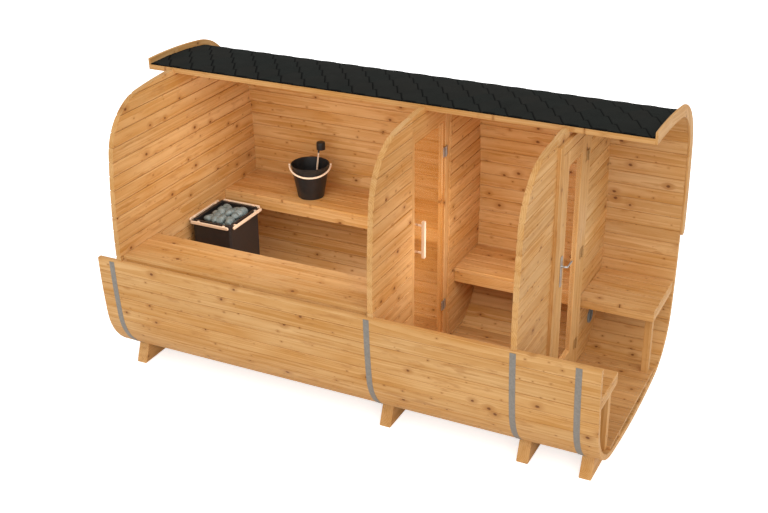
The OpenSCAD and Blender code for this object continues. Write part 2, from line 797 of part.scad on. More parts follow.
// Four wooden bars round the rim, open at the corners, each on two short blocks
module heater_rail() {
    x1 = heater_x0 + heater_w;
    z0 = heater_top - rail_h;
    z_block = heater_top - rail_h / 2;
    near = bracket_inset;
    far = bracket_inset + bracket_len;
    place() color(spruce) {
        for (x = [heater_x0 - rail_gap - rail_t, x1 + rail_gap])
            block(x, x + rail_t, heater_y0, heater_y1, z0, heater_top);
        for (y = [heater_y0 - rail_gap - rail_t, heater_y1 + rail_gap])
            block(heater_x0, x1, y, y + rail_t, z0, heater_top);
        for (x = [heater_x0 - rail_gap, x1], y = [heater_y0 + near, heater_y1 - far])
            block(x, x + rail_gap, y, y + bracket_len, z0, z_block);
        for (y = [heater_y0 - rail_gap, heater_y1], x = [heater_x0 + near, x1 - far])
            block(x, x + bracket_len, y, y + rail_gap, z0, z_block);
    }
}

// ---------------------------------------------------------------- bucket and ladle

// The bucket's own frame: its bail turns about local X, and hangs towards local -Y
module bucket_place() {
    place() translate(bucket_c) rotate([0, 0, bucket_turn]) children();
}

module water_bucket() {
    bucket_place() color("#1d1d1f") {
        difference() {
            cylinder(r1 = bucket_base_r, r2 = bucket_top_r, h = bucket_h);
            translate([0, 0, bucket_t])
                cylinder(r1 = bucket_base_r + bucket_taper * bucket_t - bucket_t,
                         r2 = bucket_top_r + bucket_taper * eps - bucket_t, h = bucket_h - bucket_t + eps);
        }
        for (s = [-1, 1])
            translate([s * (bucket_top_r - bucket_t), 0, bail_z]) rotate([0, s * 90, 0])
                cylinder(r = pin_r, h = bail_half - bucket_top_r + bucket_t + bail_r);
    }
}

// Half a ring with an eye round each of the bucket's pins
module bucket_bail() {
    bucket_place() translate([0, 0, bail_z]) rotate([bail_hang, 0, 0]) color(spruce) difference() {
        union() {
            intersection() {
                rotate_extrude($fn = 96) translate([bail_half, 0]) circle(r = bail_r);
                translate([-bail_half * 2, -bail_half * 4, -bail_half])
                    cube([bail_half * 4, bail_half * 4, bail_half * 2]);
            }
            for (s = [-1, 1])
                translate([s * (bail_half - bail_r), 0, 0]) rotate([0, s * 90, 0])
                    cylinder(r = bail_r + eye_rim, h = bail_r * 2);
        }
        rotate([0, 90, 0]) translate([0, 0, -bail_half * 2])
            cylinder(r = pin_r + pin_gap, h = bail_half * 4);
    }
}

// Height of the slanted handle's middle over the base, and of the cup's mouth over its top
foot_lift = 5;
cup_lift = 22;

// The ladle stands on its handle's end and leans on the rim. Its cup hangs mouth down on an
// upright tang beside the handle's top. Places are in the bucket's own frame.
ladle_foot = [30, 0, bucket_t + foot_lift];
lean_x = 61;
lean_slack = 1.15;
lean_r = bucket_top_r - bucket_t - lean_slack * ladle_r - part_gap;
lean = [lean_x, sqrt(lean_r * lean_r - lean_x * lean_x), bucket_h] - ladle_foot;
ladle_top = ladle_foot + lean * ladle_len / norm(lean);
tang_r = 4;
tang_sink = 6;
tang_len = tang_sink + cup_lift + cup_h * 0.8;
cup_dir = [cos(-58), sin(-58), 0];
cup_c = ladle_top + (cup_r + eps) * cup_dir + [0, 0, cup_lift];
cup_t = 2;

module ladle() {
    bucket_place() {
        translate(ladle_foot) rotate([0, acos(lean[2] / norm(lean)), atan2(lean[1], lean[0])])
            color(spruce) cylinder(r = ladle_r, h = ladle_len);
        color("#23272b") {
            translate(ladle_top - [0, 0, tang_sink]) cylinder(r = tang_r, h = tang_len);
            difference() {
                translate(cup_c) cylinder(r = cup_r, h = cup_h);
                translate(cup_c - [0, 0, eps]) cylinder(r = cup_r - cup_t, h = cup_h - cup_t + eps);
            }
        }
    }
}

near_wall_staves();
near_corner_staves();
bottom_staves();
far_corner_staves();
far_wall_staves();
eaves_corner_staves();
roof_staves();
roof_shingles();
roof_edge_boards();
cradle_feet();
steel_bands();
end_wall();
sauna_wall_near();
sauna_wall_far();
sauna_wall_centre();
front_wall_near();
front_wall_far();
front_wall_centre();
sauna_door_frame();
sauna_door_glass();
sauna_door_pulls();
sauna_hinge_plates();
sauna_hinge_clamps();
front_door_frame();
front_door_leaf();
front_door_pane();
front_hinge_plates();
front_hinge_leaves();
handle_plates();
door_lever();
wall_vent();
sauna_floor();
dressing_floor();
terrace_floor();
sauna_far_bench();
sauna_near_bench();
dressing_bench();
terrace_far_bench();
terrace_near_bench();
heater_body();
heater_stones();
heater_rail();
water_bucket();
bucket_bail();
ladle();
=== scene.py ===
import bpy
import bmesh
import numpy as np
from mathutils import Matrix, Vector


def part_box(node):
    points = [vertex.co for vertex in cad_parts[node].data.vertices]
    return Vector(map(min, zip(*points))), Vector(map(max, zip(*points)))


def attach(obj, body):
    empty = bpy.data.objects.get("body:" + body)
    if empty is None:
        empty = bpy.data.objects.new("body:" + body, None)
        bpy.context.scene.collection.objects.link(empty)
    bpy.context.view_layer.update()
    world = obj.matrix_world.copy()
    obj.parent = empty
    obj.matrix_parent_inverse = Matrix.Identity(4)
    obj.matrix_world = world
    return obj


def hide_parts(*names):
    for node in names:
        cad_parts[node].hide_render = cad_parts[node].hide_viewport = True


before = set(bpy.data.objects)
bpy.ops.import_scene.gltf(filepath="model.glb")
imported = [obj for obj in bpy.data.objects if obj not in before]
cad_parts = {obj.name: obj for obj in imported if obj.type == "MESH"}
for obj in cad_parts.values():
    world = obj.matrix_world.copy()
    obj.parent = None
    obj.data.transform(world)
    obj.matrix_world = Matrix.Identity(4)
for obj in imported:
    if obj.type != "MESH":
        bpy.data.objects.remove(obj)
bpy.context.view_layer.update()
print("frame loaded")


# Small tools

def boxOf(node):
    # the low and the high corner of a node's box
    low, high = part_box(node)
    return np.array(low), np.array(high)


def linear(code):
    # sRGB hex to linear RGBA
    c = np.array([int(code[i:i + 2], 16) for i in (1, 3, 5)]) / 255
    return (*np.where(c <= 0.04045, c / 12.92, ((c + 0.055) / 1.055) ** 2.4), 1.0)


def addNode(tree, kind, settings=None, stops=()):
    # kind is the node's type without ShaderNode. settings name its own fields and its sockets. A socket that
    # is given a node, or one of a node's outputs, is linked to it. stops are the places and hex colours of a
    # colour ramp.
    node = tree.nodes.new("ShaderNode" + kind)
    for key, value in (settings or {}).items():
        value = value.outputs[0] if isinstance(value, bpy.types.Node) else value
        if isinstance(value, bpy.types.NodeSocket):
            tree.links.new(value, node.inputs[key])
        elif isinstance(key, str) and hasattr(node, key):
            setattr(node, key, value)
        else:
            node.inputs[key].default_value = value
    for i, (position, code) in enumerate(stops):
        ramp = node.color_ramp.elements
        element = ramp[i] if i < 2 else ramp.new(position)
        element.position = position
        element.color = linear(code)
    return node


def newMaterial(name):
    # an empty node material and its tree
    material = bpy.data.materials.new(name)
    material.use_nodes = True
    material.node_tree.nodes.clear()
    return material, material.node_tree


def finishMaterial(tree, settings):
    # the last shader and the output
    shader = addNode(tree, "BsdfPrincipled", settings)
    addNode(tree, "OutputMaterial", {"Surface": shader})


def gridFaces(rows, columns, closeColumns=False):
    # quads between neighbours of a grid of points that is numbered row by row
    last = columns if closeColumns else columns - 1
    r, c = np.meshgrid(np.arange(rows - 1), np.arange(last), indexing="ij")
    beside = (c + 1) % columns
    here, above = r * columns, (r + 1) * columns
    return np.stack([here + c, here + beside, above + beside, above + c], -1).reshape(-1, 4)


def tubes(rings, place=None, tone=None):
    # closed solids from rings of points, shape (solids, rings, points, 3): each ring is joined to the
    # next, and the first and the last are capped
    count, rows, columns = rings.shape[:3]
    offset = np.arange(count)[:, None, None] * rows * columns
    caps = np.array([np.arange(columns), (rows - 1) * columns + np.arange(columns)])
    sides = gridFaces(rows, columns, True)
    faces = [(sides + offset).reshape(-1, 4), (caps + offset).reshape(-1, columns)]
    return shape(rings, faces, place, tone)


def oneTube(rings, random=None, local=None):
    # one closed solid of rings. local gives each point's way along, across and into its board, if it is wood.
    if random is None:
        return tubes(rings[None])
    place, tone = grain(random, *np.moveaxis(local, -1, 0)[:, None])
    return tubes(rings[None], place, tone)


def shape(points, faces, place=None, tone=None):
    # points, lists of faces of one length each, and each point's place in its board and its board's tone
    points = points.reshape(-1, 3)
    place = np.zeros_like(points) if place is None else np.broadcast_to(place, place.shape).reshape(-1, 3)
    tone = np.zeros(len(points)) if tone is None else tone.reshape(-1)
    return points, faces, place, tone


def addPiece(name, shapes, body, material, replaced=(), sharp=32, merged=True):
    # joins shapes into one object, merges doubled points, drops faces without area, and turns every face
    # outwards. Edges sharper than the angle in degrees stay crisp.
    starts = np.cumsum([0] + [len(s[0]) for s in shapes])
    faces = [f for s, start in zip(shapes, starts) for g in s[1] for f in (g + start).tolist()]
    mesh = bpy.data.meshes.new(name)
    mesh.from_pydata(np.concatenate([s[0] for s in shapes]).tolist(), [], faces)
    mesh.attributes.new("boardPlace", "FLOAT_VECTOR", "POINT").data.foreach_set(
        "vector", np.concatenate([s[2] for s in shapes]).astype(np.float32).ravel())
    mesh.attributes.new("boardTone", "FLOAT", "POINT").data.foreach_set(
        "value", np.concatenate([s[3] for s in shapes]).astype(np.float32))
    work = bmesh.new()
    work.from_mesh(mesh)
    if merged:
        bmesh.ops.remove_doubles(work, verts=work.verts, dist=1e-6)
    bmesh.ops.dissolve_degenerate(work, edges=work.edges, dist=1e-6)
    bmesh.ops.recalc_face_normals(work, faces=work.faces)
    work.to_mesh(mesh)
    work.free()
    # boardEnd marks the sawn ends: faces whose corners all lie at the same distance along the grain
    place = np.empty(len(mesh.vertices) * 3, np.float32)
    mesh.attributes["boardPlace"].data.foreach_get("vector", place)
    corners, starts = np.empty(len(mesh.loops), int), np.empty(len(mesh.polygons), int)
    mesh.loops.foreach_get("vertex_index", corners)
    mesh.polygons.foreach_get("loop_start", starts)
    along = place[::3][corners]
    reach = np.maximum.reduceat(along, starts) - np.minimum.reduceat(along, starts)
    mesh.attributes.new("boardEnd", "FLOAT", "FACE").data.foreach_set(
        "value", (reach < 1e-4).astype(np.float32))
    mesh.shade_smooth()
    mesh.set_sharp_from_angle(angle=np.radians(sharp))
    piece = bpy.data.objects.new(name, mesh)
    bpy.context.scene.collection.objects.link(piece)
    mesh.materials.append(material)
    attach(piece, body)
    if replaced:
        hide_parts(*replaced)
    print("piece", name, len(mesh.polygons), "faces")


def grain(random, along, across, depth, spread=1.0):
    # where each point sits in its own board: along, across and into the wood from the middle of the trunk.
    # Every board starts somewhere else in one long trunk. The first axis of the arrays counts the boards.
    count = len(along)
    shift = np.stack([random.uniform(0, 300, count), random.uniform(-0.05, 0.05, count),
                      random.uniform(0.02, 0.11, count)], -1)
    tone = np.clip(random.normal(0, 0.45, count), -1, 1) * spread
    extra = (1,) * (along.ndim - 1)
    place = np.stack([along, across, depth], -1) + shift.reshape(count, *extra, 3)
    return place, np.broadcast_to(tone.reshape(count, *extra), along.shape)


def boards(random, low, high, chamfer, axis, spread=1.0):
    # Boxes with every edge cut at 45 degrees: each corner becomes three points, one on each face, moved
    # in by the chamfer along the other two axes. axis is the way the grain runs.
    low, high = np.atleast_2d(low), np.atleast_2d(high)
    bits = np.array([[i >> 2 & 1, i >> 1 & 1, i & 1] for i in range(8)])
    half = (high - low)[:, None, None] / 2
    centre = (high + low)[:, None, None] / 2
    local = (bits * 2 - 1)[None, :, None] * (half - chamfer * (1 - np.eye(3))[None, None])
    number = lambda corner, face: int(corner @ [4, 2, 1]) * 3 + face
    unit, quads = np.eye(3, dtype=int), []
    for a in range(3):
        b, c = (a + 1) % 3, (a + 2) % 3
        for s in (0, 1):
            ring = [unit[a] * s + unit[b] * p + unit[c] * q for p, q in ((0, 0), (1, 0), (1, 1), (0, 1))]
            quads.append([number(corner, a) for corner in ring])
            for t in (0, 1):
                first, last = (unit[b] * s + unit[c] * t + unit[a] * e for e in (0, 1))
                quads.append([number(first, b), number(last, b), number(last, c), number(first, c)])
    triangles = [[i * 3, i * 3 + 1, i * 3 + 2] for i in range(8)]
    offset = np.arange(len(low))[:, None, None] * 24
    faces = [(np.array(f) + offset).reshape(-1, len(f[0])) for f in (quads, triangles)]
    points = centre + local
    order = {"x": [0, 1, 2], "y": [1, 2, 0], "z": [2, 1, 0]}[axis]
    wide = np.argmax(np.where(np.arange(3) == order[0], 0, (high - low).max(0)))
    order = [order[0], wide, 3 - order[0] - wide]
    place, tone = grain(random, *(local[..., k] for k in order), spread)
    return shape(points, faces, place, tone)


def plainBox(low, high, chamfer):
    # one box with cut edges and no wood places
    points, faces, place, tone = boards(np.random.default_rng(1), low, high, chamfer, "z")
    return points, faces, place * 0, tone * 0


def lathe(profile, centre, frameAxes, steps=32, random=None):
    # A profile of (radius, height) points turned round an axis: centre + radius * (cos * side + sin * front)
    # + height * axis. frameAxes holds side, front and axis.
    angles = np.arange(steps) * 2 * np.pi / steps
    radius, height = np.array(profile).T
    side, front, axis = np.array(frameAxes, float)
    rings = (centre + radius[:, None, None] * (np.cos(angles)[None, :, None] * side
                                               + np.sin(angles)[None, :, None] * front)
             + height[:, None, None] * axis)
    return oneTube(rings, random, (rings - centre) @ np.stack([axis, side, front], -1))


def carry(path, side, outline, scale=None, random=None):
    # An outline of (across, up) points carried along a path of points, and scaled at each of them. side is
    # the outline's own across way, made square to the path.
    path, outline = np.array(path, float), np.array(outline, float)
    ahead = np.gradient(path, axis=0)
    ahead /= np.linalg.norm(ahead, axis=1, keepdims=True)
    side = np.broadcast_to(np.array(side, float), path.shape)
    side = side - (side * ahead).sum(1, keepdims=True) * ahead
    side = side / np.linalg.norm(side, axis=1, keepdims=True)
    up = np.cross(ahead, side)
    scale = np.ones((len(path), 2)) if scale is None else np.array(scale, float)
    size = outline[None] * scale[:, None]
    rings = path[:, None] + size[..., :1] * side[:, None] + size[..., 1:] * up[:, None]
    length = np.concatenate([[0], np.cumsum(np.linalg.norm(np.diff(path, axis=0), axis=1))])
    along = np.broadcast_to(length[:, None, None], rings.shape[:2] + (1,))
    return oneTube(rings, random, np.concatenate([along, size], -1))


def circle(radius, steps):
    # points at equal angles
    angles = np.arange(steps) * 2 * np.pi / steps
    return np.stack([radius * np.cos(angles), radius * np.sin(angles)], -1)


def roundedRectangle(width, height, radius, steps=5):
    # four quarter circles joined by straight sides
    turn = np.linspace(0, np.pi / 2, steps)
    corners = [(1, 1, 0), (-1, 1, 1), (-1, -1, 2), (1, -1, 3)]
    return np.concatenate([np.stack([sx * (width / 2 - radius) + radius * np.cos(turn + q * np.pi / 2),
                                     sy * (height / 2 - radius) + radius * np.sin(turn + q * np.pi / 2)], -1)
                           for sx, sy, q in corners])


def insetOutline(outline, distance):
    # moves each point of a closed outline inwards along the mean of its two sides' normals
    before, after = np.roll(outline, 1, 0), np.roll(outline, -1, 0)
    length = lambda d: np.maximum(np.linalg.norm(d, axis=1), 1e-9)[:, None]
    turned = lambda d: np.stack([d[:, 1], -d[:, 0]], -1) / length(d)
    first, second = turned(outline - before), turned(after - outline)
    middle = first + second
    middle /= np.maximum((middle * first).sum(1), 0.3)[:, None]  # a sharp corner moves no further than this
    area = (outline[:, 0] * after[:, 1] - outline[:, 1] * after[:, 0]).sum()
    return outline - np.sign(area) * middle * distance


def plate(outline, placed, low, high, chamfer, random=None):
    # a flat outline made a plate with cut edges. placed turns (across, up, out) into points of the frame,
    # and the grain, if any, runs across.
    small = insetOutline(outline, chamfer)
    layers = [(small, low), (outline, low + chamfer), (outline, high - chamfer), (small, high)]
    flat = np.stack([np.column_stack([o, np.full(len(o), out)]) for o, out in layers])
    return oneTube(placed(flat.reshape(-1, 3)).reshape(flat.shape), random, flat)


# Camera, floor and light

view = {
    "place": (3.735, -7.7445, 5.139),
    "azimuth": 26.098, "down": 25.789, "roll": 0.490,  # degrees
    "lens": 57.77, "sensor": 36.0,  # mm
}
light = {
    "sunWay": (-0.42, 0.62, -0.66),  # from over the camera's right shoulder
    "sunStrength": 1.55, "sunWidth": 70,  # degrees
    "skyStrength": 0.72,
    "floorSize": 60.0, "floorColour": "#fbfbfa", "floorGlow": 0.66,
    # soft lamps, hidden from the camera, that stand for daylight bounced about in the rooms: place, watts,
    # radius and colour
    "lamps": [((-0.95, -0.10, 1.50), 16.0, 0.40, "#eaf1ff"), ((-0.10, -0.10, 1.40), 10.0, 0.25, "#eaf1ff"),
              ((0.88, -0.10, 1.25), 19.5, 0.30, "#eaf1ff"), ((-0.40, -0.10, 0.52), 7.0, 0.15, "#eaf1ff"),
              ((1.60, 0.38, 1.35), 3.2, 0.25, "#8cbcff")],
}


def addCamera():
    # looks along the azimuth and down, with its right and up ways turned by the roll
    a, d, r = np.radians([view["azimuth"], view["down"], view["roll"]])
    level = np.array([-np.sin(a), np.cos(a), 0])
    ahead = np.cos(d) * level - np.sin(d) * np.array([0, 0, 1])
    right = np.array([np.cos(a), np.sin(a), 0])
    up = np.cross(right, ahead)
    rolled = np.cos(r) * right - np.sin(r) * up, np.sin(r) * right + np.cos(r) * up
    data = bpy.data.cameras.new("camera")
    data.lens, data.sensor_width = view["lens"], view["sensor"]
    camera = bpy.data.objects.new("camera", data)
    matrix = np.eye(4)
    matrix[:3, :3] = np.column_stack([*rolled, -ahead])
    matrix[:3, 3] = view["place"]
    camera.matrix_world = Matrix(matrix)
    bpy.context.scene.collection.objects.link(camera)
    bpy.context.scene.camera = camera


def addStage():
    # a pale floor, an even white sky, one wide soft sun and the room lamps
    scene = bpy.context.scene
    scene.view_settings.view_transform = "Standard"
    half = light["floorSize"] / 2
    mesh = bpy.data.meshes.new("studioFloor")
    corners = [(-half, -half, 0), (half, -half, 0), (half, half, 0), (-half, half, 0)]
    mesh.from_pydata(corners, [], [(0, 1, 2, 3)])
    floor = bpy.data.objects.new("studioFloor", mesh)
    scene.collection.objects.link(floor)
    # the floor is lit as paint, and the camera also sees a white glow on it, so that its shadows stay faint
    material, tree = newMaterial("painted studio floor")
    paint = addNode(tree, "BsdfDiffuse", {"Color": linear(light["floorColour"])})
    ray = addNode(tree, "LightPath").outputs["Is Camera Ray"]
    strength = addNode(tree, "Math", {"operation": "MULTIPLY", 0: ray, 1: light["floorGlow"]})
    glow = addNode(tree, "Emission", {"Strength": strength})
    both = addNode(tree, "AddShader", {0: paint, 1: glow})
    addNode(tree, "OutputMaterial", {"Surface": both})
    mesh.materials.append(material)
    world = bpy.data.worlds.new("softSky")
    world.use_nodes = True
    # the sky is plain white where the camera sees past the floor, and lights the room at its own strength
    tree = world.node_tree
    ray = addNode(tree, "LightPath").outputs["Is Camera Ray"]
    seen = addNode(tree, "MapRange", {0: ray, 3: light["skyStrength"], 4: 1.0})
    tree.nodes["Background"].inputs["Color"].default_value = (1, 1, 1, 1)
    tree.links.new(seen.outputs[0], tree.nodes["Background"].inputs["Strength"])
    scene.world = world
    data = bpy.data.lights.new("softSun", "SUN")
    data.energy, data.angle = light["sunStrength"], np.radians(light["sunWidth"])
    sun = bpy.data.objects.new("softSun", data)
    way = np.array(light["sunWay"]) / np.linalg.norm(light["sunWay"])
    side = np.cross(way, [0, 0, 1])
    side /= np.linalg.norm(side)
    matrix = np.eye(4)
    matrix[:3, :3] = np.column_stack([side, np.cross(side, way), -way])
    sun.matrix_world = Matrix(matrix)
    scene.collection.objects.link(sun)
    for place, watts, radius, colour in light["lamps"]:
        data = bpy.data.lights.new("roomLamp", "POINT")
        data.energy, data.shadow_soft_size, data.color = watts, radius, linear(colour)[:3]
        lamp = bpy.data.objects.new("roomLamp", data)
        lamp.location = place
        lamp.visible_camera = False
        lamp.visible_glossy = False
        scene.collection.objects.link(lamp)


addCamera()
addStage()
print("camera and light placed")


# Materials

def woodMaterial(name, look):
    # Planed wood read from boardPlace (metres along, across and into the board), boardTone and boardEnd.
    # Knots: cells of a flat Voronoi pattern, each with at most one knot, stretched along the grain.
    # Year rings: rings round the trunk's middle, which wanders along the board and so draws flames.
    material, tree = newMaterial(name)
    place = addNode(tree, "Attribute", {"attribute_name": "boardPlace"}).outputs["Vector"]
    tone = addNode(tree, "Attribute", {"attribute_name": "boardTone"}).outputs["Fac"]
    end = addNode(tree, "Attribute", {"attribute_name": "boardEnd"}).outputs["Fac"]
    wobble = addNode(tree, "TexNoise", {"Scale": 90.0, "Detail": 2.0, "Vector": place})
    cores, halos, gaps = [], [], []
    for kind in ("knot", "pin"):
        cell, share, radius = (look[kind + part] for part in ("Cell", "Share", "Radius"))
        flat = addNode(tree, "VectorMath", {
            "operation": "MULTIPLY", 0: place, 1: (1 / cell, look["squash"] / cell, 0)})
        cells = addNode(tree, "TexVoronoi", {
            "voronoi_dimensions": "2D", "Scale": 1.0, "Randomness": 1.0, "Vector": flat})
        luck = addNode(tree, "SeparateColor", {0: cells.outputs["Color"]}).outputs
        # a cell has its knot when its luck is under the share, and none is drawn on a sawn end
        chance = addNode(tree, "Math", {"operation": "SUBTRACT", 0: share, 1: end})
        there = addNode(tree, "Math", {"operation": "LESS_THAN", 0: luck[0], 1: chance})
        # distance from the knot's middle, made ragged, in units of its own radius
        ragged = addNode(tree, "Math", {
            "operation": "MULTIPLY_ADD", 0: wobble, 1: 0.9 * radius / cell, 2: cells.outputs["Distance"]})
        size = addNode(tree, "Math", {
            "operation": "MULTIPLY_ADD", 0: luck[1], 1: 1.1 * radius / cell, 2: 0.45 * radius / cell})
        away = addNode(tree, "Math", {"operation": "DIVIDE", 0: ragged, 1: size})
        for found, full, gone in ((cores, 0.7, 1.4), (halos, 1.0, 4.2)):
            fade = addNode(tree, "MapRange", {
                "interpolation_type": "SMOOTHSTEP", 0: away, 1: full, 2: gone, 3: 1.0, 4: 0.0})
            found.append(addNode(tree, "Math", {"operation": "MULTIPLY", 0: fade, 1: there}))
        gaps.append(addNode(tree, "VectorMath", {
            "operation": "SUBTRACT", 0: cells.outputs["Position"], 1: flat}))
    # the grain flows round a knot: points near it are read from nearer its middle
    pull = addNode(tree, "VectorMath", {"operation": "SCALE", 0: gaps[0], "Scale": halos[0]})
    bent = addNode(tree, "VectorMath", {
        "operation": "MULTIPLY_ADD", 0: pull, 1: (0, look["knotCell"] / look["squash"], 0), 2: place})
    # noises stretched along the grain: how often they repeat in a metre, along, across and into the board
    noises = {}
    for key, often, detail, roughness in (
            ("patch", (1.7, 7, 7), 2.0, 0.5), ("streak", look["streaks"], 3.0, 0.6),
            ("fine", (14, 420, 420), 2.0, 0.5), ("smudge", (4.5, 22, 22), 3.0, 0.65)):
        at = addNode(tree, "VectorMath", {"operation": "MULTIPLY", 0: bent, 1: often})
        noises[key] = addNode(tree, "TexNoise", {
            "Scale": 1.0, "Detail": detail, "Roughness": roughness, "Vector": at})
    trunk = addNode(tree, "VectorMath", {"operation": "MULTIPLY", 0: bent, 1: (0.05, 1, 1)})
    rings = addNode(tree, "TexWave", {
        "wave_type": "RINGS", "rings_direction": "X", "wave_profile": "SAW", "Detail": 1.0,
        "Detail Scale": 0.5, "Scale": 0.314 / look["ringWidth"], "Distortion": look["flames"],
        "Vector": trunk}).outputs["Fac"]
    layered = addNode(tree, "Math", {"operation": "MULTIPLY", 0: rings, 1: look["ringShare"]})
    for key in ("streak", "fine", "patch"):
        layered = addNode(tree, "Math", {
            "operation": "MULTIPLY_ADD", 0: noises[key], 1: look[key + "Share"], 2: layered})
    colour = addNode(tree, "ValToRGB", {0: layered}, [(0.30, look["light"]), (0.80, look["dark"])])
    # resin and heartwood smudges, then the knots' halos and cores
    smudge = addNode(tree, "MapRange", {
        "interpolation_type": "SMOOTHSTEP", 0: noises["smudge"], 1: 0.54, 2: 0.72, 3: 0.0, 4: look["smudge"]})
    halo = addNode(tree, "Math", {"operation": "MAXIMUM", 0: halos[0], 1: halos[1]})
    halo = addNode(tree, "Math", {"operation": "MULTIPLY", 0: halo, 1: 0.55})
    halo = addNode(tree, "Math", {"operation": "MAXIMUM", 0: smudge, 1: halo})
    core = addNode(tree, "Math", {"operation": "MAXIMUM", 0: cores[0], 1: cores[1]})
    colour = addNode(tree, "Mix", {
        "data_type": "RGBA", 0: halo, 6: colour, 7: linear(look["knotRing"])}).outputs[2]
    colour = addNode(tree, "Mix", {
        "data_type": "RGBA", 0: core, 6: colour, 7: linear(look["knot"])}).outputs[2]
    # each board has its own tone, and each stretch of it is a little lighter or darker
    shade = addNode(tree, "Math", {
        "operation": "MULTIPLY_ADD", 0: tone, 1: look["toneSpread"], 2: 1 - look["patchSpread"] / 2})
    shade = addNode(tree, "Math", {
        "operation": "MULTIPLY_ADD", 0: noises["patch"], 1: look["patchSpread"], 2: shade})
    colour = addNode(tree, "HueSaturation", {"Value": shade, "Color": colour})
    rough = addNode(tree, "MapRange", {
        "interpolation_type": "SMOOTHSTEP", 0: layered, 1: 0.3, 2: 0.9,
        3: look["roughness"] - 0.06, 4: look["roughness"] + 0.1})
    bump = addNode(tree, "Bump", {"Strength": 0.25, "Distance": 0.0006, "Height": layered})
    finishMaterial(tree, {"Base Color": colour, "Roughness": rough, "Normal": bump, "IOR": 1.45,
                          "Specular IOR Level": 0.35})
    return material


# Nordic spruce, planed and oiled: warm yellow, knots 10 to 35 mm and pin knots 4 to 15 mm. Its year rings are
# drawn 14 mm wide, because the real 2 to 3 mm is too fine to show, its streaks 10 to 40 mm wide and up to
# 0.8 m long, its fine lines 2.4 mm wide, and its resin smudges 45 mm wide and 0.2 m long.
spruce = {
    "light": "#e2b57b", "dark": "#b8813f", "knot": "#75451e", "knotRing": "#a36a30",
    "knotCell": 0.24, "knotShare": 0.55, "knotRadius": 0.0125,
    "pinCell": 0.13, "pinShare": 0.40, "pinRadius": 0.005,
    "squash": 1.35,  # how much longer a knot is along the grain than across it
    "ringWidth": 0.014, "flames": 7.0, "ringShare": 0.18, "streaks": (1.3, 26, 18), "streakShare": 0.32,
    "fineShare": 0.16, "patchShare": 0.58, "smudge": 0.46,
    "toneSpread": 0.07, "patchSpread": 0.22, "roughness": 0.52,
}
staveWood = woodMaterial("oiled spruce staves", spruce)
wallWood = woodMaterial("oiled spruce wall boards", {**spruce, "toneSpread": 0.08})
planedWood = woodMaterial("planed clear spruce", {
    **spruce, "knotShare": 0.22, "pinShare": 0.15, "toneSpread": 0.04})
floorWood = woodMaterial("spruce floor boards", {**spruce, "light": "#d8a76d", "dark": "#ab7840"})
benchWood = woodMaterial("spruce bench boards", {**spruce, "knotShare": 0.42})
# aspen, planed and turned for the bail, the rail, the pulls and the ladle's handle: paler and without knots,
# its rings drawn 5 mm wide
smallWood = woodMaterial("pale aspen", {
    **spruce, "light": "#f2dcc0", "dark": "#e2c09a", "knotShare": 0.0, "pinShare": 0.0, "smudge": 0.0,
    "patchSpread": 0.06, "ringWidth": 0.005})


def metalMaterial(name, look):
    # a metal, paint or plastic whose tone and roughness waver over a few centimetres, with fine grit in its
    # bump. Scales are how often the cloud and the grit repeat in a metre.
    material, tree = newMaterial(name)
    where = addNode(tree, "TexCoord").outputs["Object"]
    cloud = addNode(tree, "TexNoise", {"Scale": look["cloudScale"], "Detail": 3.0, "Vector": where})
    grit = addNode(tree, "TexNoise", {"Scale": look["gritScale"], "Detail": 2.0, "Vector": where})
    colour = addNode(tree, "ValToRGB", {0: cloud}, [(0.3, look["dark"]), (0.7, look["light"])])
    rough = addNode(tree, "MapRange", {
        0: cloud, 1: 0.3, 2: 0.7, 3: look["roughness"] - look["waver"], 4: look["roughness"] + look["waver"]})
    bump = addNode(tree, "Bump", {"Strength": look["bump"], "Distance": 0.0004, "Height": grit})
    finishMaterial(tree, {"Metallic": look["metallic"], "Base Color": colour, "Roughness": rough,
                          "Normal": bump})
    return material


# hot-dip galvanised steel strip: dull mid grey with faint spangle of 10 to 20 mm
galvanised = metalMaterial("galvanised steel strip", {
    "light": "#918b83", "dark": "#807a72", "cloudScale": 60.0, "gritScale": 900.0, "roughness": 0.55,
    "waver": 0.08, "bump": 0.15, "metallic": 0.25})
# satin chrome plate on zinc fittings: soft grey, with faint smears
chrome = metalMaterial("satin chrome plate", {
    "light": "#c8c7c5", "dark": "#b6b4b1", "cloudScale": 90.0, "gritScale": 1500.0, "roughness": 0.34,
    "waver": 0.05, "bump": 0.03, "metallic": 0.9})
# bronzed steel of the front door's hinges: dull golden brown, close to the oiled wood
bronzed = metalMaterial("bronzed steel", {
    "light": "#b5884f", "dark": "#9f7643", "cloudScale": 70.0, "gritScale": 900.0, "roughness": 0.55,
    "waver": 0.06, "bump": 0.1, "metallic": 0.25})
# powder-coated steel sheet of the heater: near black, satin, with fine orange peel of 2 mm
heaterPaint = metalMaterial("black powder coat", {
    "light": "#312c2a", "dark": "#272321", "cloudScale": 25.0, "gritScale": 500.0, "roughness": 0.5,
    "waver": 0.06, "bump": 0.12, "metallic": 0.0})
# coated steel of the bucket and the ladle's cup: black and satin, with soft highlights
bucketBlack = metalMaterial("black coated steel", {
    "light": "#232221", "dark": "#1c1b1a", "cloudScale": 30.0, "gritScale": 700.0, "roughness": 0.38,
    "waver": 0.05, "bump": 0.08, "metallic": 0.0})
# moulded grey plastic of the wall vent: even, with a soft satin
ventPlastic = metalMaterial("grey moulded plastic", {
    "light": "#7d8484", "dark": "#727979", "cloudScale": 40.0, "gritScale": 800.0, "roughness": 0.45,
    "waver": 0.05, "bump": 0.05, "metallic": 0.0})


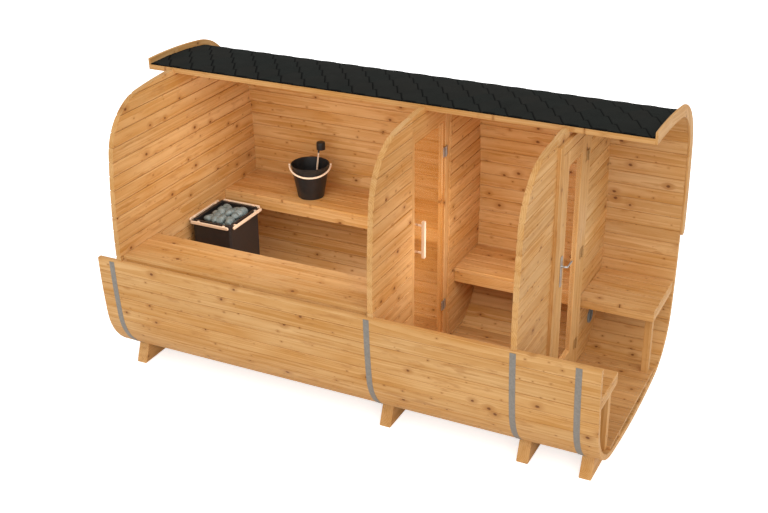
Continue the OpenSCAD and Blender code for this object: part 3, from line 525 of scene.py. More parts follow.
def glassMaterial(name, veil, share):
    # clear float glass, an 8 mm sheet in the sauna door and a 14 mm sealed pane in the front door, mirror
    # smooth. It is drawn by alpha, so that light reaches the room behind it, and a thin warm veil stands for
    # the glow of the lit boards on both of its faces.
    material, tree = newMaterial(name)
    finishMaterial(tree, {"Base Color": linear(veil), "Roughness": 0.04, "IOR": 1.3,
                          "Specular IOR Level": 0.03, "Alpha": share})
    return material


def shingleMaterial():
    # Bitumen shingles with dark slate grit of 1 mm, drawn 4 mm wide so that it shows. boardPlace holds the
    # tab's number along the row, the row's number and the distance to the lower edge of the row above.
    material, tree = newMaterial("slate grit bitumen shingles")
    place = addNode(tree, "Attribute", {"attribute_name": "boardPlace"}).outputs["Vector"]
    number, row, above = addNode(tree, "SeparateXYZ", {0: place}).outputs
    where = addNode(tree, "TexCoord").outputs["Object"]
    grit = addNode(tree, "TexNoise", {
        "Scale": 240.0, "Detail": 3.0, "Roughness": 0.7, "Vector": where})
    cloud = addNode(tree, "TexNoise", {"Scale": 7.0, "Detail": 2.0, "Vector": where})
    # each tab leans more or less to a warm grey
    tab = addNode(tree, "Math", {"operation": "FLOOR", 0: number})
    key = addNode(tree, "CombineXYZ", {0: tab, 1: row})
    luck = addNode(tree, "TexWhiteNoise", {
        "noise_dimensions": "2D", "Vector": key}).outputs["Value"]
    lean = addNode(tree, "Math", {"operation": "MULTIPLY", 0: luck, 1: 0.9})
    base = addNode(tree, "ValToRGB", {0: grit}, [(0.3, "#151716"), (0.72, "#2d302d")])
    warm = addNode(tree, "Mix", {
        "data_type": "RGBA", 0: lean, 6: base, 7: linear("#282724")}).outputs[2]
    # a dark band just under the row above, 12 mm: partly the strips' own printed band, partly painted shade
    # under the overlap. Along one slope of each tab it is 42 mm, a painted shadow of the tab's edge, as if
    # lit from the left
    spot = addNode(tree, "Math", {"operation": "FRACT", 0: number})
    # slope picks the side of each tab that gets the wider painted shadow
    slope = addNode(tree, "Math", {"operation": "LESS_THAN", 0: spot, 1: 0.5})
    width = addNode(tree, "Math", {"operation": "MULTIPLY_ADD", 0: slope, 1: 0.030, 2: 0.012})
    # band darkens the colour to 0.12 at the edge: painted shadow and shade, partly the strips' print
    band = addNode(tree, "MapRange", {
        "interpolation_type": "SMOOTHSTEP", 0: above, 1: 0.003, 2: width, 3: 0.12, 4: 1.0})
    shade = addNode(tree, "Math", {"operation": "MULTIPLY_ADD", 0: cloud, 1: 0.35, 2: 0.8})
    shade = addNode(tree, "Math", {"operation": "MULTIPLY", 0: shade, 1: band})
    colour = addNode(tree, "HueSaturation", {"Value": shade, "Color": warm})
    bump = addNode(tree, "Bump", {"Strength": 0.5, "Distance": 0.0012, "Height": grit})
    finishMaterial(tree, {"Base Color": colour, "Normal": bump, "Roughness": 0.92,
                          "Specular IOR Level": 0.04})
    return material


def stoneMaterial():
    # olivine diabase heater stones: grey with a green cast and a grain of 3 mm, each with its own tone
    material, tree = newMaterial("olivine diabase")
    where = addNode(tree, "TexCoord").outputs["Object"]
    tone = addNode(tree, "Attribute", {"attribute_name": "boardTone"}).outputs["Fac"]
    speck = addNode(tree, "TexNoise", {
        "Scale": 300.0, "Detail": 4.0, "Roughness": 0.7, "Vector": where})
    cloud = addNode(tree, "TexNoise", {"Scale": 28.0, "Detail": 3.0, "Vector": where})
    mixed = addNode(tree, "Math", {"operation": "MULTIPLY_ADD", 0: speck, 1: 0.5, 2: cloud})
    colour = addNode(tree, "ValToRGB", {0: mixed}, [(0.5, "#555d58"), (1.0, "#8f9892")])
    shade = addNode(tree, "Math", {"operation": "MULTIPLY_ADD", 0: tone, 1: 0.12, 2: 1.0})
    colour = addNode(tree, "HueSaturation", {"Value": shade, "Color": colour})
    bump = addNode(tree, "Bump", {"Strength": 0.5, "Distance": 0.002, "Height": mixed})
    finishMaterial(tree, {"Base Color": colour, "Normal": bump, "Roughness": 0.8})
    return material


doorGlass = glassMaterial("toughened clear glass", "#d98e3a", 0.17)
paneGlass = glassMaterial("clear float glass", "#a8682e", 0.09)
shingleGrit = shingleMaterial()
diabase = stoneMaterial()
print("materials made")


# The body's cross-section: four bowed sides joined by four rounded corners, all tangent

shell = {
    "staveThickness": 0.042, "sideRadius": 5.5, "capRadius": 4.4, "cornerRadius": 0.47,
    "wallInset": 0.014,  # the walls' outline inside the staves' outer face
    "pitch": 0.108, "firstSeam": 0.104,  # width of a stave, and the sawn one at the near edge
    "slit": 0.0007, "slitDepth": 0.010, "chamfer": 0.0032, "endChamfer": 0.002,
    "leastStave": 0.03,
}
wallLow, wallHigh = boxOf("end_wall")
staveLow, staveHigh = boxOf("bottom_staves")
midY, midZ = (wallLow + wallHigh)[1:] / 2
halfWidth, halfHeight = (wallHigh - wallLow)[1:] / 2 + shell["wallInset"]
bodyX0, bodyX1 = staveLow[0], staveHigh[0]
sideMiddle = np.array([halfWidth - shell["sideRadius"], 0])
capMiddle = np.array([0, halfHeight - shell["capRadius"]])
# a corner's middle lies at known distances from the side's and the cap's middles
sideReach, capReach = shell["sideRadius"] - shell["cornerRadius"], shell["capRadius"] - shell["cornerRadius"]
span = np.linalg.norm(capMiddle - sideMiddle)
spanWay = (capMiddle - sideMiddle) / span
alongSpan = (span ** 2 + sideReach ** 2 - capReach ** 2) / (2 * span)
offSpan = np.sqrt(sideReach ** 2 - alongSpan ** 2)
cornerMiddle = sideMiddle + spanWay * alongSpan + np.array([-spanWay[1], spanWay[0]]) * offSpan
sideEnd = np.arctan2(*(cornerMiddle - sideMiddle)[::-1])
capStart = np.arctan2(*(cornerMiddle - capMiddle)[::-1])


def section(angle, inset):
    # points (y, z) whose outward normal stands at angle, moved inwards by inset
    angle, inset = np.broadcast_arrays(angle, inset)
    c, s = np.cos(angle), np.sin(angle)
    q = np.arctan2(abs(s), abs(c))[..., None]
    middle = np.where(q < sideEnd, sideMiddle, np.where(q < capStart, cornerMiddle, capMiddle))
    radius = np.where(q < sideEnd, shell["sideRadius"], np.where(q < capStart, shell["cornerRadius"],
                                                                 shell["capRadius"]))
    point = middle + (radius - inset[..., None]) * np.concatenate([np.cos(q), np.sin(q)], -1)
    signs = np.stack([np.where(c < 0, -1, 1), np.where(s < 0, -1, 1)], -1)
    return point * signs + np.array([midY, midZ])


# angles of the sawn near edge, the sawn roof edge and the shingles' far foot, and a table of the way along
# the section for each angle
nearTop = np.pi + np.arcsin((midZ - boxOf("near_wall_staves")[1][2])
                            / (shell["sideRadius"] - shell["staveThickness"]))
roofNear = 2.5 * np.pi + np.arcsin((midY - boxOf("roof_staves")[0][1]) / shell["capRadius"])
shingleRise = boxOf("roof_shingles")[1][2] - midZ - halfHeight
shingleFoot = 2 * np.pi + np.arcsin((boxOf("roof_shingles")[0][2] - midZ)
                                    / (shell["sideRadius"] + shingleRise))
tableAngle = np.linspace(nearTop, roofNear, 6001)
tableArc = np.concatenate([[0], np.cumsum(np.linalg.norm(np.diff(section(tableAngle, 0.0), axis=0), axis=1))])


def angleAt(arc):
    # the angle at a way along the section, from the sawn near edge
    return np.interp(arc, tableArc, tableAngle)


def arcAt(angle):
    # the way along the section at an angle
    return np.interp(angle, tableAngle, tableArc)


# the walls' outline and the staves' inner face on the far half of the section
outlineAngle = np.radians(np.unique(np.concatenate([np.arange(-90, 90.1, 1.0), [-89.5, 89.5]])))
outlinePoint = section(outlineAngle, shell["wallInset"])
insidePoint = section(outlineAngle, shell["staveThickness"])


def wallHalf(z):
    # half width of the walls' outline at a height
    return np.interp(z, outlinePoint[:, 1], outlinePoint[:, 0] - midY)


# Staves

wallNodes = ["end_wall", "sauna_wall_far", "front_wall_far"]
wallX = np.array([[boxOf(node)[0][0], boxOf(node)[1][0]] for node in wallNodes])


def staveShapes(random, arcs):
    # One stave between two arc places: its outer face follows the section, its joints stand square to it,
    # and it has small cut edges. Rings of that profile run along X, with grooves where the walls sit.
    t, c, e, g = (shell[k] for k in ("staveThickness", "chamfer", "endChamfer", "slit"))
    deep, groove = shell["slitDepth"], shell["wallInset"]
    steps = np.linspace(0, 1, 5)
    stations = [(bodyX0, e, t - e), (bodyX0 + e, 0, t)]
    for x0, x1 in wallX:
        stations += [(x0, 0, t), (x0, 0, groove), (x1, 0, groove), (x1, 0, t)]
    stations += [(bodyX1 - e, 0, t), (bodyX1, e, t - e)]
    rings, places = [], []
    for x, outer, inner in stations:
        # down a side: cut edge, open slit, tight joint, open slit, cut edge
        sideInset = np.array([outer + c, deep, deep + 0.001, inner - deep - 0.001, inner - deep, inner - c])
        sideInset[3:] = np.maximum(sideInset[3:], groove)
        sideBack = np.array([g, g, 5e-5, 5e-5, g, g])
        a, b = arcs[:, :1], arcs[:, 1:]
        face = a + g + c + (b - a - 2 * (g + c)) * steps
        arc = np.concatenate([face, b - sideBack, face[:, ::-1], a + sideBack[::-1]], 1)
        inset = np.concatenate([np.full(5, outer), sideInset, np.full(5, inner), sideInset[::-1]])
        inset = np.broadcast_to(inset, arc.shape)
        yz = section(angleAt(arc), inset)
        rings.append(np.concatenate([np.full(arc.shape + (1,), x), yz], -1))
        places.append(np.stack([np.full(arc.shape, x), arc - arcs.mean(1)[:, None], inset], -1))
    rings, places = np.stack(rings, 1), np.stack(places, 1)
    place, tone = grain(random, places[..., 0], places[..., 1], places[..., 2])
    return tubes(rings, place, tone)


def addStaves():
    # seams a pitch apart along the section, and the staves between them shared out by angle
    random = np.random.default_rng(11)
    inner = np.arange(shell["firstSeam"], tableArc[-1] - shell["leastStave"], shell["pitch"])
    seams = np.concatenate([[0], inner, [tableArc[-1]]])
    arcs = np.stack([seams[:-1], seams[1:]], -1)
    middle = angleAt(arcs.mean(1))
    ends = [nearTop, 1.5 * np.pi - (np.pi / 2 - capStart), 1.5 * np.pi + (np.pi / 2 - capStart),
            2 * np.pi + capStart, roofNear]
    groups = [("nearStaves", ["near_wall_staves", "near_corner_staves"]),
              ("bottomStaves", ["bottom_staves"]),
              ("farStaves", ["far_corner_staves", "far_wall_staves", "eaves_corner_staves"]),
              ("roofStaves", ["roof_staves"])]
    for i, (name, nodes) in enumerate(groups):
        here = arcs[(middle >= ends[i]) & (middle < ends[i + 1])]
        addPiece(name, [staveShapes(random, here)], "sauna", staveWood, nodes, sharp=20)


addStaves()
print("staves laid")


# Walls

wall = {"pitch": 0.108, "seamHeight": 1.170, "slit": 0.0016, "slitDepth": 0.010, "chamfer": 0.0034,
        "leastBoard": 0.024}


def wallShapes(random, x0, x1, left, right, low, high):
    # Boards lying across the body, one over the other. Each is a stack of levels, and at each level it
    # reaches to left and right or to the walls' curved outline, whichever is nearer.
    reach = min(abs(left), abs(right)) if left * right > 0 else 0.0
    heights = outlinePoint[(outlinePoint[:, 0] - midY) > reach, 1]
    low, high = max(low, heights.min()), min(high, heights.max())
    seams = wall["seamHeight"] + wall["pitch"] * np.arange(-12, 14)
    inner = (seams > low + wall["leastBoard"]) & (seams < high - wall["leastBoard"])
    seams = np.concatenate([[low], seams[inner], [high]])
    c, g, shapes = wall["chamfer"], wall["slit"], []
    for z0, z1 in zip(seams[:-1], seams[1:]):
        foot = np.array([5e-5, g, g + 0.0001, g + c])
        curve = heights[(heights > z0 + g + 1.5 * c) & (heights < z1 - g - 1.5 * c)]
        level = np.concatenate([z0 + foot, curve, z1 - foot[::-1]])
        cut = np.array([wall["slitDepth"], wall["slitDepth"], c, 0])
        cut = np.concatenate([cut, np.zeros(len(curve)), cut[::-1]])
        across = np.maximum(wallHalf(level), reach + 0.001)
        y = np.stack([np.maximum(left, -across), np.minimum(right, across)]) + midY
        loop = lambda there, back: np.concatenate([there, back[::-1]])
        rings = np.stack([np.stack([loop(x0 + cut, x1 - cut), loop(yy, yy), loop(level, level)], -1)
                          for yy in y])
        count = len(level)
        sides = gridFaces(2, 2 * count, True)
        rung = np.arange(count - 1)
        strip = np.stack([rung, rung + 1, 2 * count - 2 - rung, 2 * count - 1 - rung], -1)
        local = rings - np.array([(x0 + x1) / 2, midY, (z0 + z1) / 2])
        place, tone = grain(random, local[None, ..., 1], local[None, ..., 2], local[None, ..., 0])
        shapes.append(shape(rings, [sides, strip, strip + 2 * count], place, tone))
    return shapes


def addWalls():
    # each wall's boards, with a hole for the frame where there is a door: left, right, over and under it
    random = np.random.default_rng(23)
    far, top = 2.0, 3.0
    x0, x1 = wallX[0]
    addPiece("endWallBoards", wallShapes(random, x0, x1, -far, far, 0, top), "sauna", wallWood,
             ["end_wall"])
    for name, kind, (x0, x1) in (("saunaWallBoards", "sauna", wallX[1]),
                                 ("frontWallBoards", "front", wallX[2])):
        frameLow, frameHigh = boxOf(kind + "_door_frame")
        half = (frameHigh - frameLow)[1] / 2
        inner = half - 1e-4
        shapes = []
        for part in ((-far, -half, 0, top), (half, far, 0, top), (-inner, inner, frameHigh[2], top),
                     (-inner, inner, 0, frameLow[2])):
            shapes += wallShapes(random, x0, x1, *part)
        addPiece(name, shapes, "sauna", wallWood,
                 [f"{kind}_wall_{part}" for part in ("near", "far", "centre")])


addWalls()
print("walls built")


# Roof

shingle = {
    "tabPitch": 0.200, "exposure": 0.1415, "tabFlat": 0.055, "thickness": 0.0022, "lap": 0.0003,
    "firstTab": 0.07, "lastFlat": 0.012,  # the uppermost row of flats lies this far below the cut edge
    "least": 0.0006, "levels": 8,
}


def addShingles():
    # Rows of hexagonal tabs. A row's lower edge is a wave with short flats and straight slopes, which meet
    # where the row above has its flats. Each row lies a little tilted on the one below it.
    p, e, flat, thick = (shingle[k] for k in ("tabPitch", "exposure", "tabFlat", "thickness"))
    footArc, endArc = arcAt(shingleFoot), tableArc[-1]
    length = endArc - footArc
    offsets = np.array([-flat / 2, 0, flat / 2, p / 2 - flat / 2, p / 2, p / 2 + flat / 2])
    first, least, levels = shingle["firstTab"], shingle["least"], shingle["levels"]
    tabs = np.arange(-1, int((bodyX1 - bodyX0) / p) + 2)[:, None]
    corners = (tabs * p + offsets).ravel() + bodyX0 + first
    x = np.unique(np.clip(corners, bodyX0 + 0.001, bodyX1 - 0.001))
    rows = int(np.ceil(length / e)) + 1
    across = lambda row: x - bodyX0 - first - (row % 2) * p / 2 + p / 2

    def lowerEdge(row):
        # level at a flat, rising by the exposure to the next row's flat
        phase = np.abs(across(row) % p - p / 2)
        return (row - 1) * e + e * np.clip((phase - flat / 2) / (p / 2 - flat / 2), 0, 1)

    start = length - np.floor(length / e) * e + shingle["lastFlat"]
    shapes = []
    for row in range(rows + 1):
        base = start + (row - 1) * e
        top = np.clip(base + 2 * e, 0, length)
        if top <= 0.001 or base >= length - 0.001:
            continue
        low = np.clip(start + lowerEdge(row), 0, top - least)
        t = np.linspace(0, 1, levels)[:, None]
        s = low[None] + (top - low[None]) * t
        rise = np.clip(shingleRise - (s - base) / e * (thick + shingle["lap"]), least, shingleRise)
        under = np.clip(rise - thick, 0.0002, None)
        above = np.clip(start + lowerEdge(row + 1), 0, length)[None] - s
        angle = angleAt(footArc + s)
        layers = []
        for height in (rise, under):
            yz = section(angle, -height)
            layers.append(np.concatenate([np.broadcast_to(x, s.shape)[..., None], yz], -1))
        points = np.stack(layers)
        columns, count = len(x), levels * len(x)
        quads = gridFaces(levels, columns)
        rim = np.concatenate([np.arange(columns), np.arange(1, levels) * columns + columns - 1,
                              (levels - 1) * columns + np.arange(columns - 2, -1, -1),
                              np.arange(levels - 2, 0, -1) * columns])
        skirt = np.stack([rim, np.roll(rim, -1), np.roll(rim, -1) + count, rim + count], -1)
        number = np.broadcast_to(across(row) / p, s.shape)
        place = np.stack([number, np.full(s.shape, float(row)), above], -1)
        place = np.stack([place, place])
        shapes.append(shape(points, [quads, quads + count, skirt], place, np.zeros(points.shape[:-1])))
    addPiece("shingleRows", shapes, "sauna", shingleGrit, ["roof_shingles"], sharp=40,
             merged=False)


edgeBoard = {
    "thick": 0.018, "proud": 0.050, "chamfer": 0.004,
    "joints": (0.62, 1.18, 1.62), "gap": 0.0004,  # joints in halves of the board's length
    "footAngle": 0.12, "steps": 25,
}


def addEdgeBoards():
    # A board on edge carried along the section, past the staves, with a round foot. It is made of four
    # lengths, and the grain runs straight in each.
    random = np.random.default_rng(31)
    c, t, proud = edgeBoard["chamfer"], shell["staveThickness"], edgeBoard["proud"]
    half, middle = (t + proud) / 2, (t - proud) / 2
    footArc, length = arcAt(shingleFoot), tableArc[-1] - arcAt(shingleFoot)
    joints = [0.0] + [length * j / 2.0 for j in edgeBoard["joints"]] + [length]
    low, high = boxOf("roof_edge_boards")
    shapes = []
    for x0 in (low[0], high[0] - edgeBoard["thick"]):
        x1 = x0 + edgeBoard["thick"]
        for k, (s0, s1) in enumerate(zip(joints[:-1], joints[1:])):
            s = np.linspace(s0 + edgeBoard["gap"], s1 - edgeBoard["gap"], edgeBoard["steps"])
            reach = np.full(s.shape, half)
            back = np.zeros(s.shape)
            if k == 0:
                # the round foot: narrower towards its tip
                turn = np.linspace(np.pi / 2 - edgeBoard["footAngle"], 0.0, 9)[:-1]
                s, back = np.concatenate([0 * turn, s]), np.concatenate([half * np.sin(turn), back])
                reach = np.concatenate([half * np.cos(turn), reach])
            cut = np.minimum(c, reach * 0.4)
            insets = middle + np.stack([-reach, cut - reach, reach - cut, reach], -1)
            ringInset = np.concatenate([insets, insets[:, ::-1]], 1)
            inwards = np.stack([cut, 0 * cut, 0 * cut, cut], -1)
            ringX = np.concatenate([x0 + inwards, x1 - inwards], 1)
            angle = angleAt(footArc + s)[:, None]
            yz = section(np.broadcast_to(angle, ringInset.shape), ringInset)
            ahead = np.stack([-np.sin(angle), np.cos(angle)], -1)
            yz = yz - ahead * back[:, None, None]
            rings = np.concatenate([ringX[..., None], yz], -1)
            chord = yz[-1, 0] - yz[0, 0]
            chord = chord / np.linalg.norm(chord)
            local = (yz - yz.mean((0, 1))) @ np.array([chord, [-chord[1], chord[0]]]).T
            shapes.append(oneTube(rings, random, np.concatenate([local, (ringX - x0)[..., None]], -1)))
    addPiece("roofEdgeBoardLengths", shapes, "sauna", planedWood, ["roof_edge_boards"])


addShingles()
addEdgeBoards()
print("roof covered")


# Feet and bands

def solidsOf(node):
    # the boxes of a node's separate solids, in order along X: its faces are gathered into touching groups
    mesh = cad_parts[node].data.copy()
    work = bmesh.new()
    work.from_mesh(mesh)
    bmesh.ops.remove_doubles(work, verts=work.verts, dist=1e-5)
    seen, boxes = set(), []
    for start in work.verts:
        if start in seen:
            continue
        group, stack = [], [start]
        seen.add(start)
        while stack:
            vertex = stack.pop()
            group.append(tuple(vertex.co))
            for edge in vertex.link_edges:
                other = edge.other_vert(vertex)
                if other not in seen:
                    seen.add(other)
                    stack.append(other)
        group = np.array(group)
        boxes.append((group.min(0), group.max(0)))
    work.free()
    bpy.data.meshes.remove(mesh)
    return sorted(boxes, key=lambda box: tuple(np.round(box[0], 4)))


cradle = {
    "chamfer": 0.004, "cadGap": 0.002, "gap": 0.0024,  # between a foot's hollow and the staves
    "levelTop": 0.02,  # points above this belong to a foot's upper side
}


def addFeet():
    # A block on edge across the body: level below, slanted at its ends, and hollowed above to the body's
    # curve, cut to rings of the same outline with small cut edges.
    random = np.random.default_rng(41)
    shapes, c = [], cradle["chamfer"]
    # the hollow starts where the near ends of the frame's own feet stand highest
    points = np.array([v.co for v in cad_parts["cradle_feet"].data.vertices])
    upper = points[points[:, 2] > cradle["levelTop"], 1].min()
    angle = np.linspace(np.pi, 1.5 * np.pi, 400)
    start = angle[np.argmin(abs(section(angle, -cradle["cadGap"])[:, 0] - upper))]
    curve = section(np.linspace(start, 3 * np.pi - start, 61), -cradle["gap"])
    for low, high in solidsOf("cradle_feet"):
        half = (high - low)[1] / 2
        outline = np.concatenate([[[midY + half, 0.0], [midY - half, 0.0]], curve])
        small = insetOutline(outline, c)
        levels = ((small, low[0]), (outline, low[0] + c), (outline, high[0] - c), (small, high[0]))
        rings = np.stack([np.column_stack([np.full(len(o), x), o]) for o, x in levels])
        shapes.append(oneTube(rings, random, (rings - (low + high) / 2)[..., [1, 2, 0]]))
    addPiece("cradleBlocks", shapes, "sauna", planedWood, ["cradle_feet"])


def screwHead(centre, out, radius, rise=0.3):
    # a low round head with a dished middle that hints at its recess: the profile is in units of the radius
    out = np.array(out, float)
    side = np.array([0, 0, 1.0]) if abs(out[2]) < 0.9 else np.array([1.0, 0, 0])
    side = side - side @ out * out
    side /= np.linalg.norm(side)
    profile = [(0, -rise * 0.2), (1, -rise * 0.2), (1, rise * 0.35), (0.8, rise * 0.85), (0.45, rise),
               (0.3, rise * 0.5), (0, rise * 0.4)]
    return lathe(np.array(profile) * radius, np.array(centre), [side, np.cross(out, side), out], 12)


band = {
    "gap": 0.0003, "thick": 0.002, "edge": 0.0006, "end": 0.012, "steps": 220,
    "screwRadius": 0.0055, "screwPlaces": (0.018, 0.05),
}


def addBands():
    # a flat strip carried along the section just outside the staves, with two screws at each end
    nearEnd = nearTop + band["end"] / shell["sideRadius"]
    farEnd = shingleFoot - band["end"] / shell["sideRadius"]
    g, c, t = band["gap"], band["edge"], band["thick"]
    shapes = []
    for bandLow, bandHigh in solidsOf("steel_bands"):
        x0, x1 = bandLow[0], bandHigh[0]
        angle = angleAt(np.linspace(arcAt(nearEnd), arcAt(farEnd), band["steps"]))[:, None]
        insets = np.array([-g, -t + c, -t, -t, -t + c, -g])[None]
        xs = np.array([x0, x0, x0 + c, x1 - c, x1, x1])[None]
        angle, insets, xs = np.broadcast_arrays(angle, insets, xs)
        rings = np.concatenate([xs[..., None], section(angle, insets)], -1)
        shapes.append(tubes(rings[None]))
        for end, way in ((nearEnd, 1), (farEnd, -1)):
            for back in band["screwPlaces"]:
                at = end + way * back / shell["sideRadius"]
                out = np.array([0, np.cos(at), np.sin(at)])
                place = np.concatenate([[(x0 + x1) / 2], section(at, -t)])
                shapes.append(screwHead(place, out, band["screwRadius"]))
    addPiece("steelStraps", shapes, "sauna", galvanised, ["steel_bands"])


addFeet()
addBands()
print("feet and bands set")


# Floors and benches

deck = {
    "pitch": 0.108, "gap": 0.0012, "terraceGap": 0.006, "chamfer": 0.0025, "clear": 0.0005,
    "screwRadius": 0.004, "screwInset": 0.03, "screwStep": 0.5, "screwSunk": 0.0006,
    "screwAcross": 0.3,  # from a board's middle, as a share of its width
}


def stavesUnder(y):
    # height of the staves' inner face below y, on the lower half of the section
    lower = insidePoint[: len(insidePoint) // 2]
    return np.interp(abs(y - midY), lower[:, 0] - midY, lower[:, 1])


def boardRow(random, low, high, count, gap, chamfer):
    # equal boards along X that fill a box from side to side, with gaps between them
    seams = np.linspace(low[1], high[1], count + 1)[1:-1]
    lows, highs = np.tile(low, (count, 1)), np.tile(high, (count, 1))
    lows[1:, 1], highs[:-1, 1] = seams + gap / 2, seams - gap / 2
    return boards(random, lows, highs, chamfer, "x")


def addFloors():
    # boards along X over two joists, whose undersides follow the bottom staves
    for seed, (node, name, gap) in enumerate((("sauna_floor", "saunaFloorBoards", deck["gap"]),
                                              ("dressing_floor", "dressingFloorBoards", deck["gap"]),
                                              ("terrace_floor", "terraceFloorBoards", deck["terraceGap"]))):
        random = np.random.default_rng(51 + seed)
        solids = solidsOf(node)
        board = max(solids, key=lambda b: (b[1] - b[0])[1])
        joists = [b for b in solids if b is not board]
        low, high = board
        count = int(round((high - low)[1] / deck["pitch"]))
        shapes = [boardRow(random, low, high, count, gap, deck["chamfer"])]
        for under, over in joists:
            y = np.linspace(under[1], over[1], 6)
            foot = np.stack([y, stavesUnder(y) + deck["clear"]], -1)
            outline = np.concatenate([foot, [[over[1], over[2]], [under[1], over[2]]]])
            rings = np.stack([np.column_stack([np.full(len(outline), x), outline])
                              for x in (low[0], high[0])])
            shapes.append(oneTube(rings, random, (rings - (under + over) / 2)[..., [0, 2, 1]]))
        addPiece(name, shapes, "sauna", floorWood, [node])
        heads = []
        edges = np.linspace(low[1], high[1], count + 1)
        columns = max(2, int(round((high - low)[0] / deck["screwStep"])) + 1)
        for x in np.linspace(low[0] + deck["screwInset"], high[0] - deck["screwInset"], columns):
            for y in (edges[:-1] + edges[1:]) / 2:
                for side in (-deck["screwAcross"], deck["screwAcross"]):
                    place = (x, y + side * deck["pitch"], high[2] - deck["screwSunk"])
                    heads.append(screwHead(place, (0, 0, 1), deck["screwRadius"], 0.25))
        addPiece(name + "Screws", heads, "sauna", galvanised)


# each bench's piece, how many seat boards it has, and the gap between them
benchLooks = {
    "sauna_far_bench": ("saunaFarBenchBoards", 5, 0.0015),
    "sauna_near_bench": ("saunaNearBenchBoards", 4, 0.0015),
    "dressing_bench": ("dressingBenchBoards", 5, 0.0025),
    "terrace_far_bench": ("terraceFarBenchBoards", 5, 0.007),
    "terrace_near_bench": ("terraceNearBenchBoards", 4, 0.007),
}


bench = {
    "edge": 0.003, "boardEdge": 0.002, "apron": 0.028, "leg": 0.056, "legBehind": 0.0005,
    "legTall": 0.3, "bearerTall": 0.2,  # legs are taller than the first, bearers lower than the second
}


def legShapes(random, x0, y0, y1, top):
    # an upright whose foot stands on the floor, and past the floor's edge on the staves
    floorLow, floorHigh = max(solidsOf("terrace_floor"), key=lambda b: (b[1] - b[0])[1])
    y = np.linspace(y0, y1, 9)
    onFloor = (y > floorLow[1]) & (y < floorHigh[1])
    foot = np.where(onFloor, floorHigh[2], stavesUnder(y) + deck["clear"])
    outline = np.concatenate([np.stack([foot, y], -1), [[top, y1], [top, y0]]])
    placed = lambda p: np.stack([x0 + p[:, 2], p[:, 1], p[:, 0]], -1)
    return plate(outline, placed, 0, bench["leg"], bench["boardEdge"], random)


def addBenches():
    # seat boards along X with gaps, and the front board, bearers, ledges and leg as single boards
    for seed, (node, (name, count, gap)) in enumerate(benchLooks.items()):
        random = np.random.default_rng(61 + seed)
        solids = solidsOf(node)
        seat = max(solids, key=lambda b: (b[1] - b[0])[0] * (b[1] - b[0])[1])
        shapes = []
        for box in solids:
            low, high = box
            size = high - low
            if box is seat:
                shapes.append(boardRow(random, low, high, count, gap, bench["edge"]))
            elif size[2] > bench["legTall"] and size[0] > bench["legTall"]:
                # the near leg touches its front board, so the two make one solid
                bearerLow = min(b[0][2] for b in solids
                                if (b[1] - b[0])[2] < bench["bearerTall"] and b is not seat)
                front = np.array([low[0], high[1] - bench["apron"], bearerLow])
                shapes.append(boards(random, front, high, bench["boardEdge"], "x"))
                y1 = high[1] - bench["apron"] - bench["legBehind"]
                x0 = high[0] - bench["apron"] - bench["legBehind"] - bench["leg"]
                shapes.append(legShapes(random, x0, low[1], y1, high[2]))
            elif size[2] > bench["legTall"]:
                shapes.append(legShapes(random, low[0], low[1], high[1], high[2]))
            else:
                shapes.append(boards(random, low, high, bench["boardEdge"], "xyz"[int(np.argmax(size))]))
        addPiece(name, shapes, "sauna", benchWood, [node])


addFloors()
addBenches()
print("floors and benches laid")


# Doors

door = {"chamfer": 0.002, "glassChamfer": 0.001}


def addFrames():
    # one board for each solid of the frames and the leaf, along its longest side
    for seed, (node, name, slot) in enumerate((("sauna_door_frame", "saunaFrameBoards", "planed_spruce"),
                                               ("front_door_frame", "frontFrameBoards", "planed_spruce"),
                                               ("front_door_leaf", "frontLeafBoards", "planed_spruce"))):
        random = np.random.default_rng(71 + seed)
        shapes = [boards(random, low, high, door["chamfer"], "xyz"[int(np.argmax(high - low))], 0.7)
                  for low, high in solidsOf(node)]  # tones closer together than the walls'
        addPiece(name, shapes, "front_door" if "leaf" in node else "sauna", planedWood, [node])


def addPanes():
    # each pane is its own box with small cut edges
    random = np.random.default_rng(75)
    for node, name, body, glass in (("sauna_door_glass", "saunaGlassSheet", "sauna_door", doorGlass),
                                    ("front_door_pane", "frontPaneSheet", "front_door", paneGlass)):
        sheet = boards(random, *boxOf(node), door["glassChamfer"], "z")
        addPiece(name, [sheet], body, glass, [node])


addFrames()
addPanes()
print("doors hung")


# Door fittings

def facingX(x, y, z):
    # plates that lie on a face across the body: across is Y, up is Z and out is X
    return lambda p: np.stack([x + p[:, 2], y + p[:, 0], z + p[:, 1]], -1)


def alongX(profile, x, y, z, steps=20, out=1):
    # a turned profile that stands out along X, or along -X
    return lathe(profile, np.array([x, y, z]), [(0, 1, 0), (0, 0, 1), (out, 0, 0)], steps)


hinge = {
    "barrel": 0.006, "wide": 0.034, "thick": 0.004, "corner": 0.007, "edge": 0.0006,
    "gap": 0.0005, "strapGap": 0.002, "screw": 0.0038,
    # places of the screws, across and up, as shares of a plate
    "screwPlaces": ((0.2, -0.36), (-0.1, -0.12), (-0.1, 0.12), (0.2, 0.36)),
}


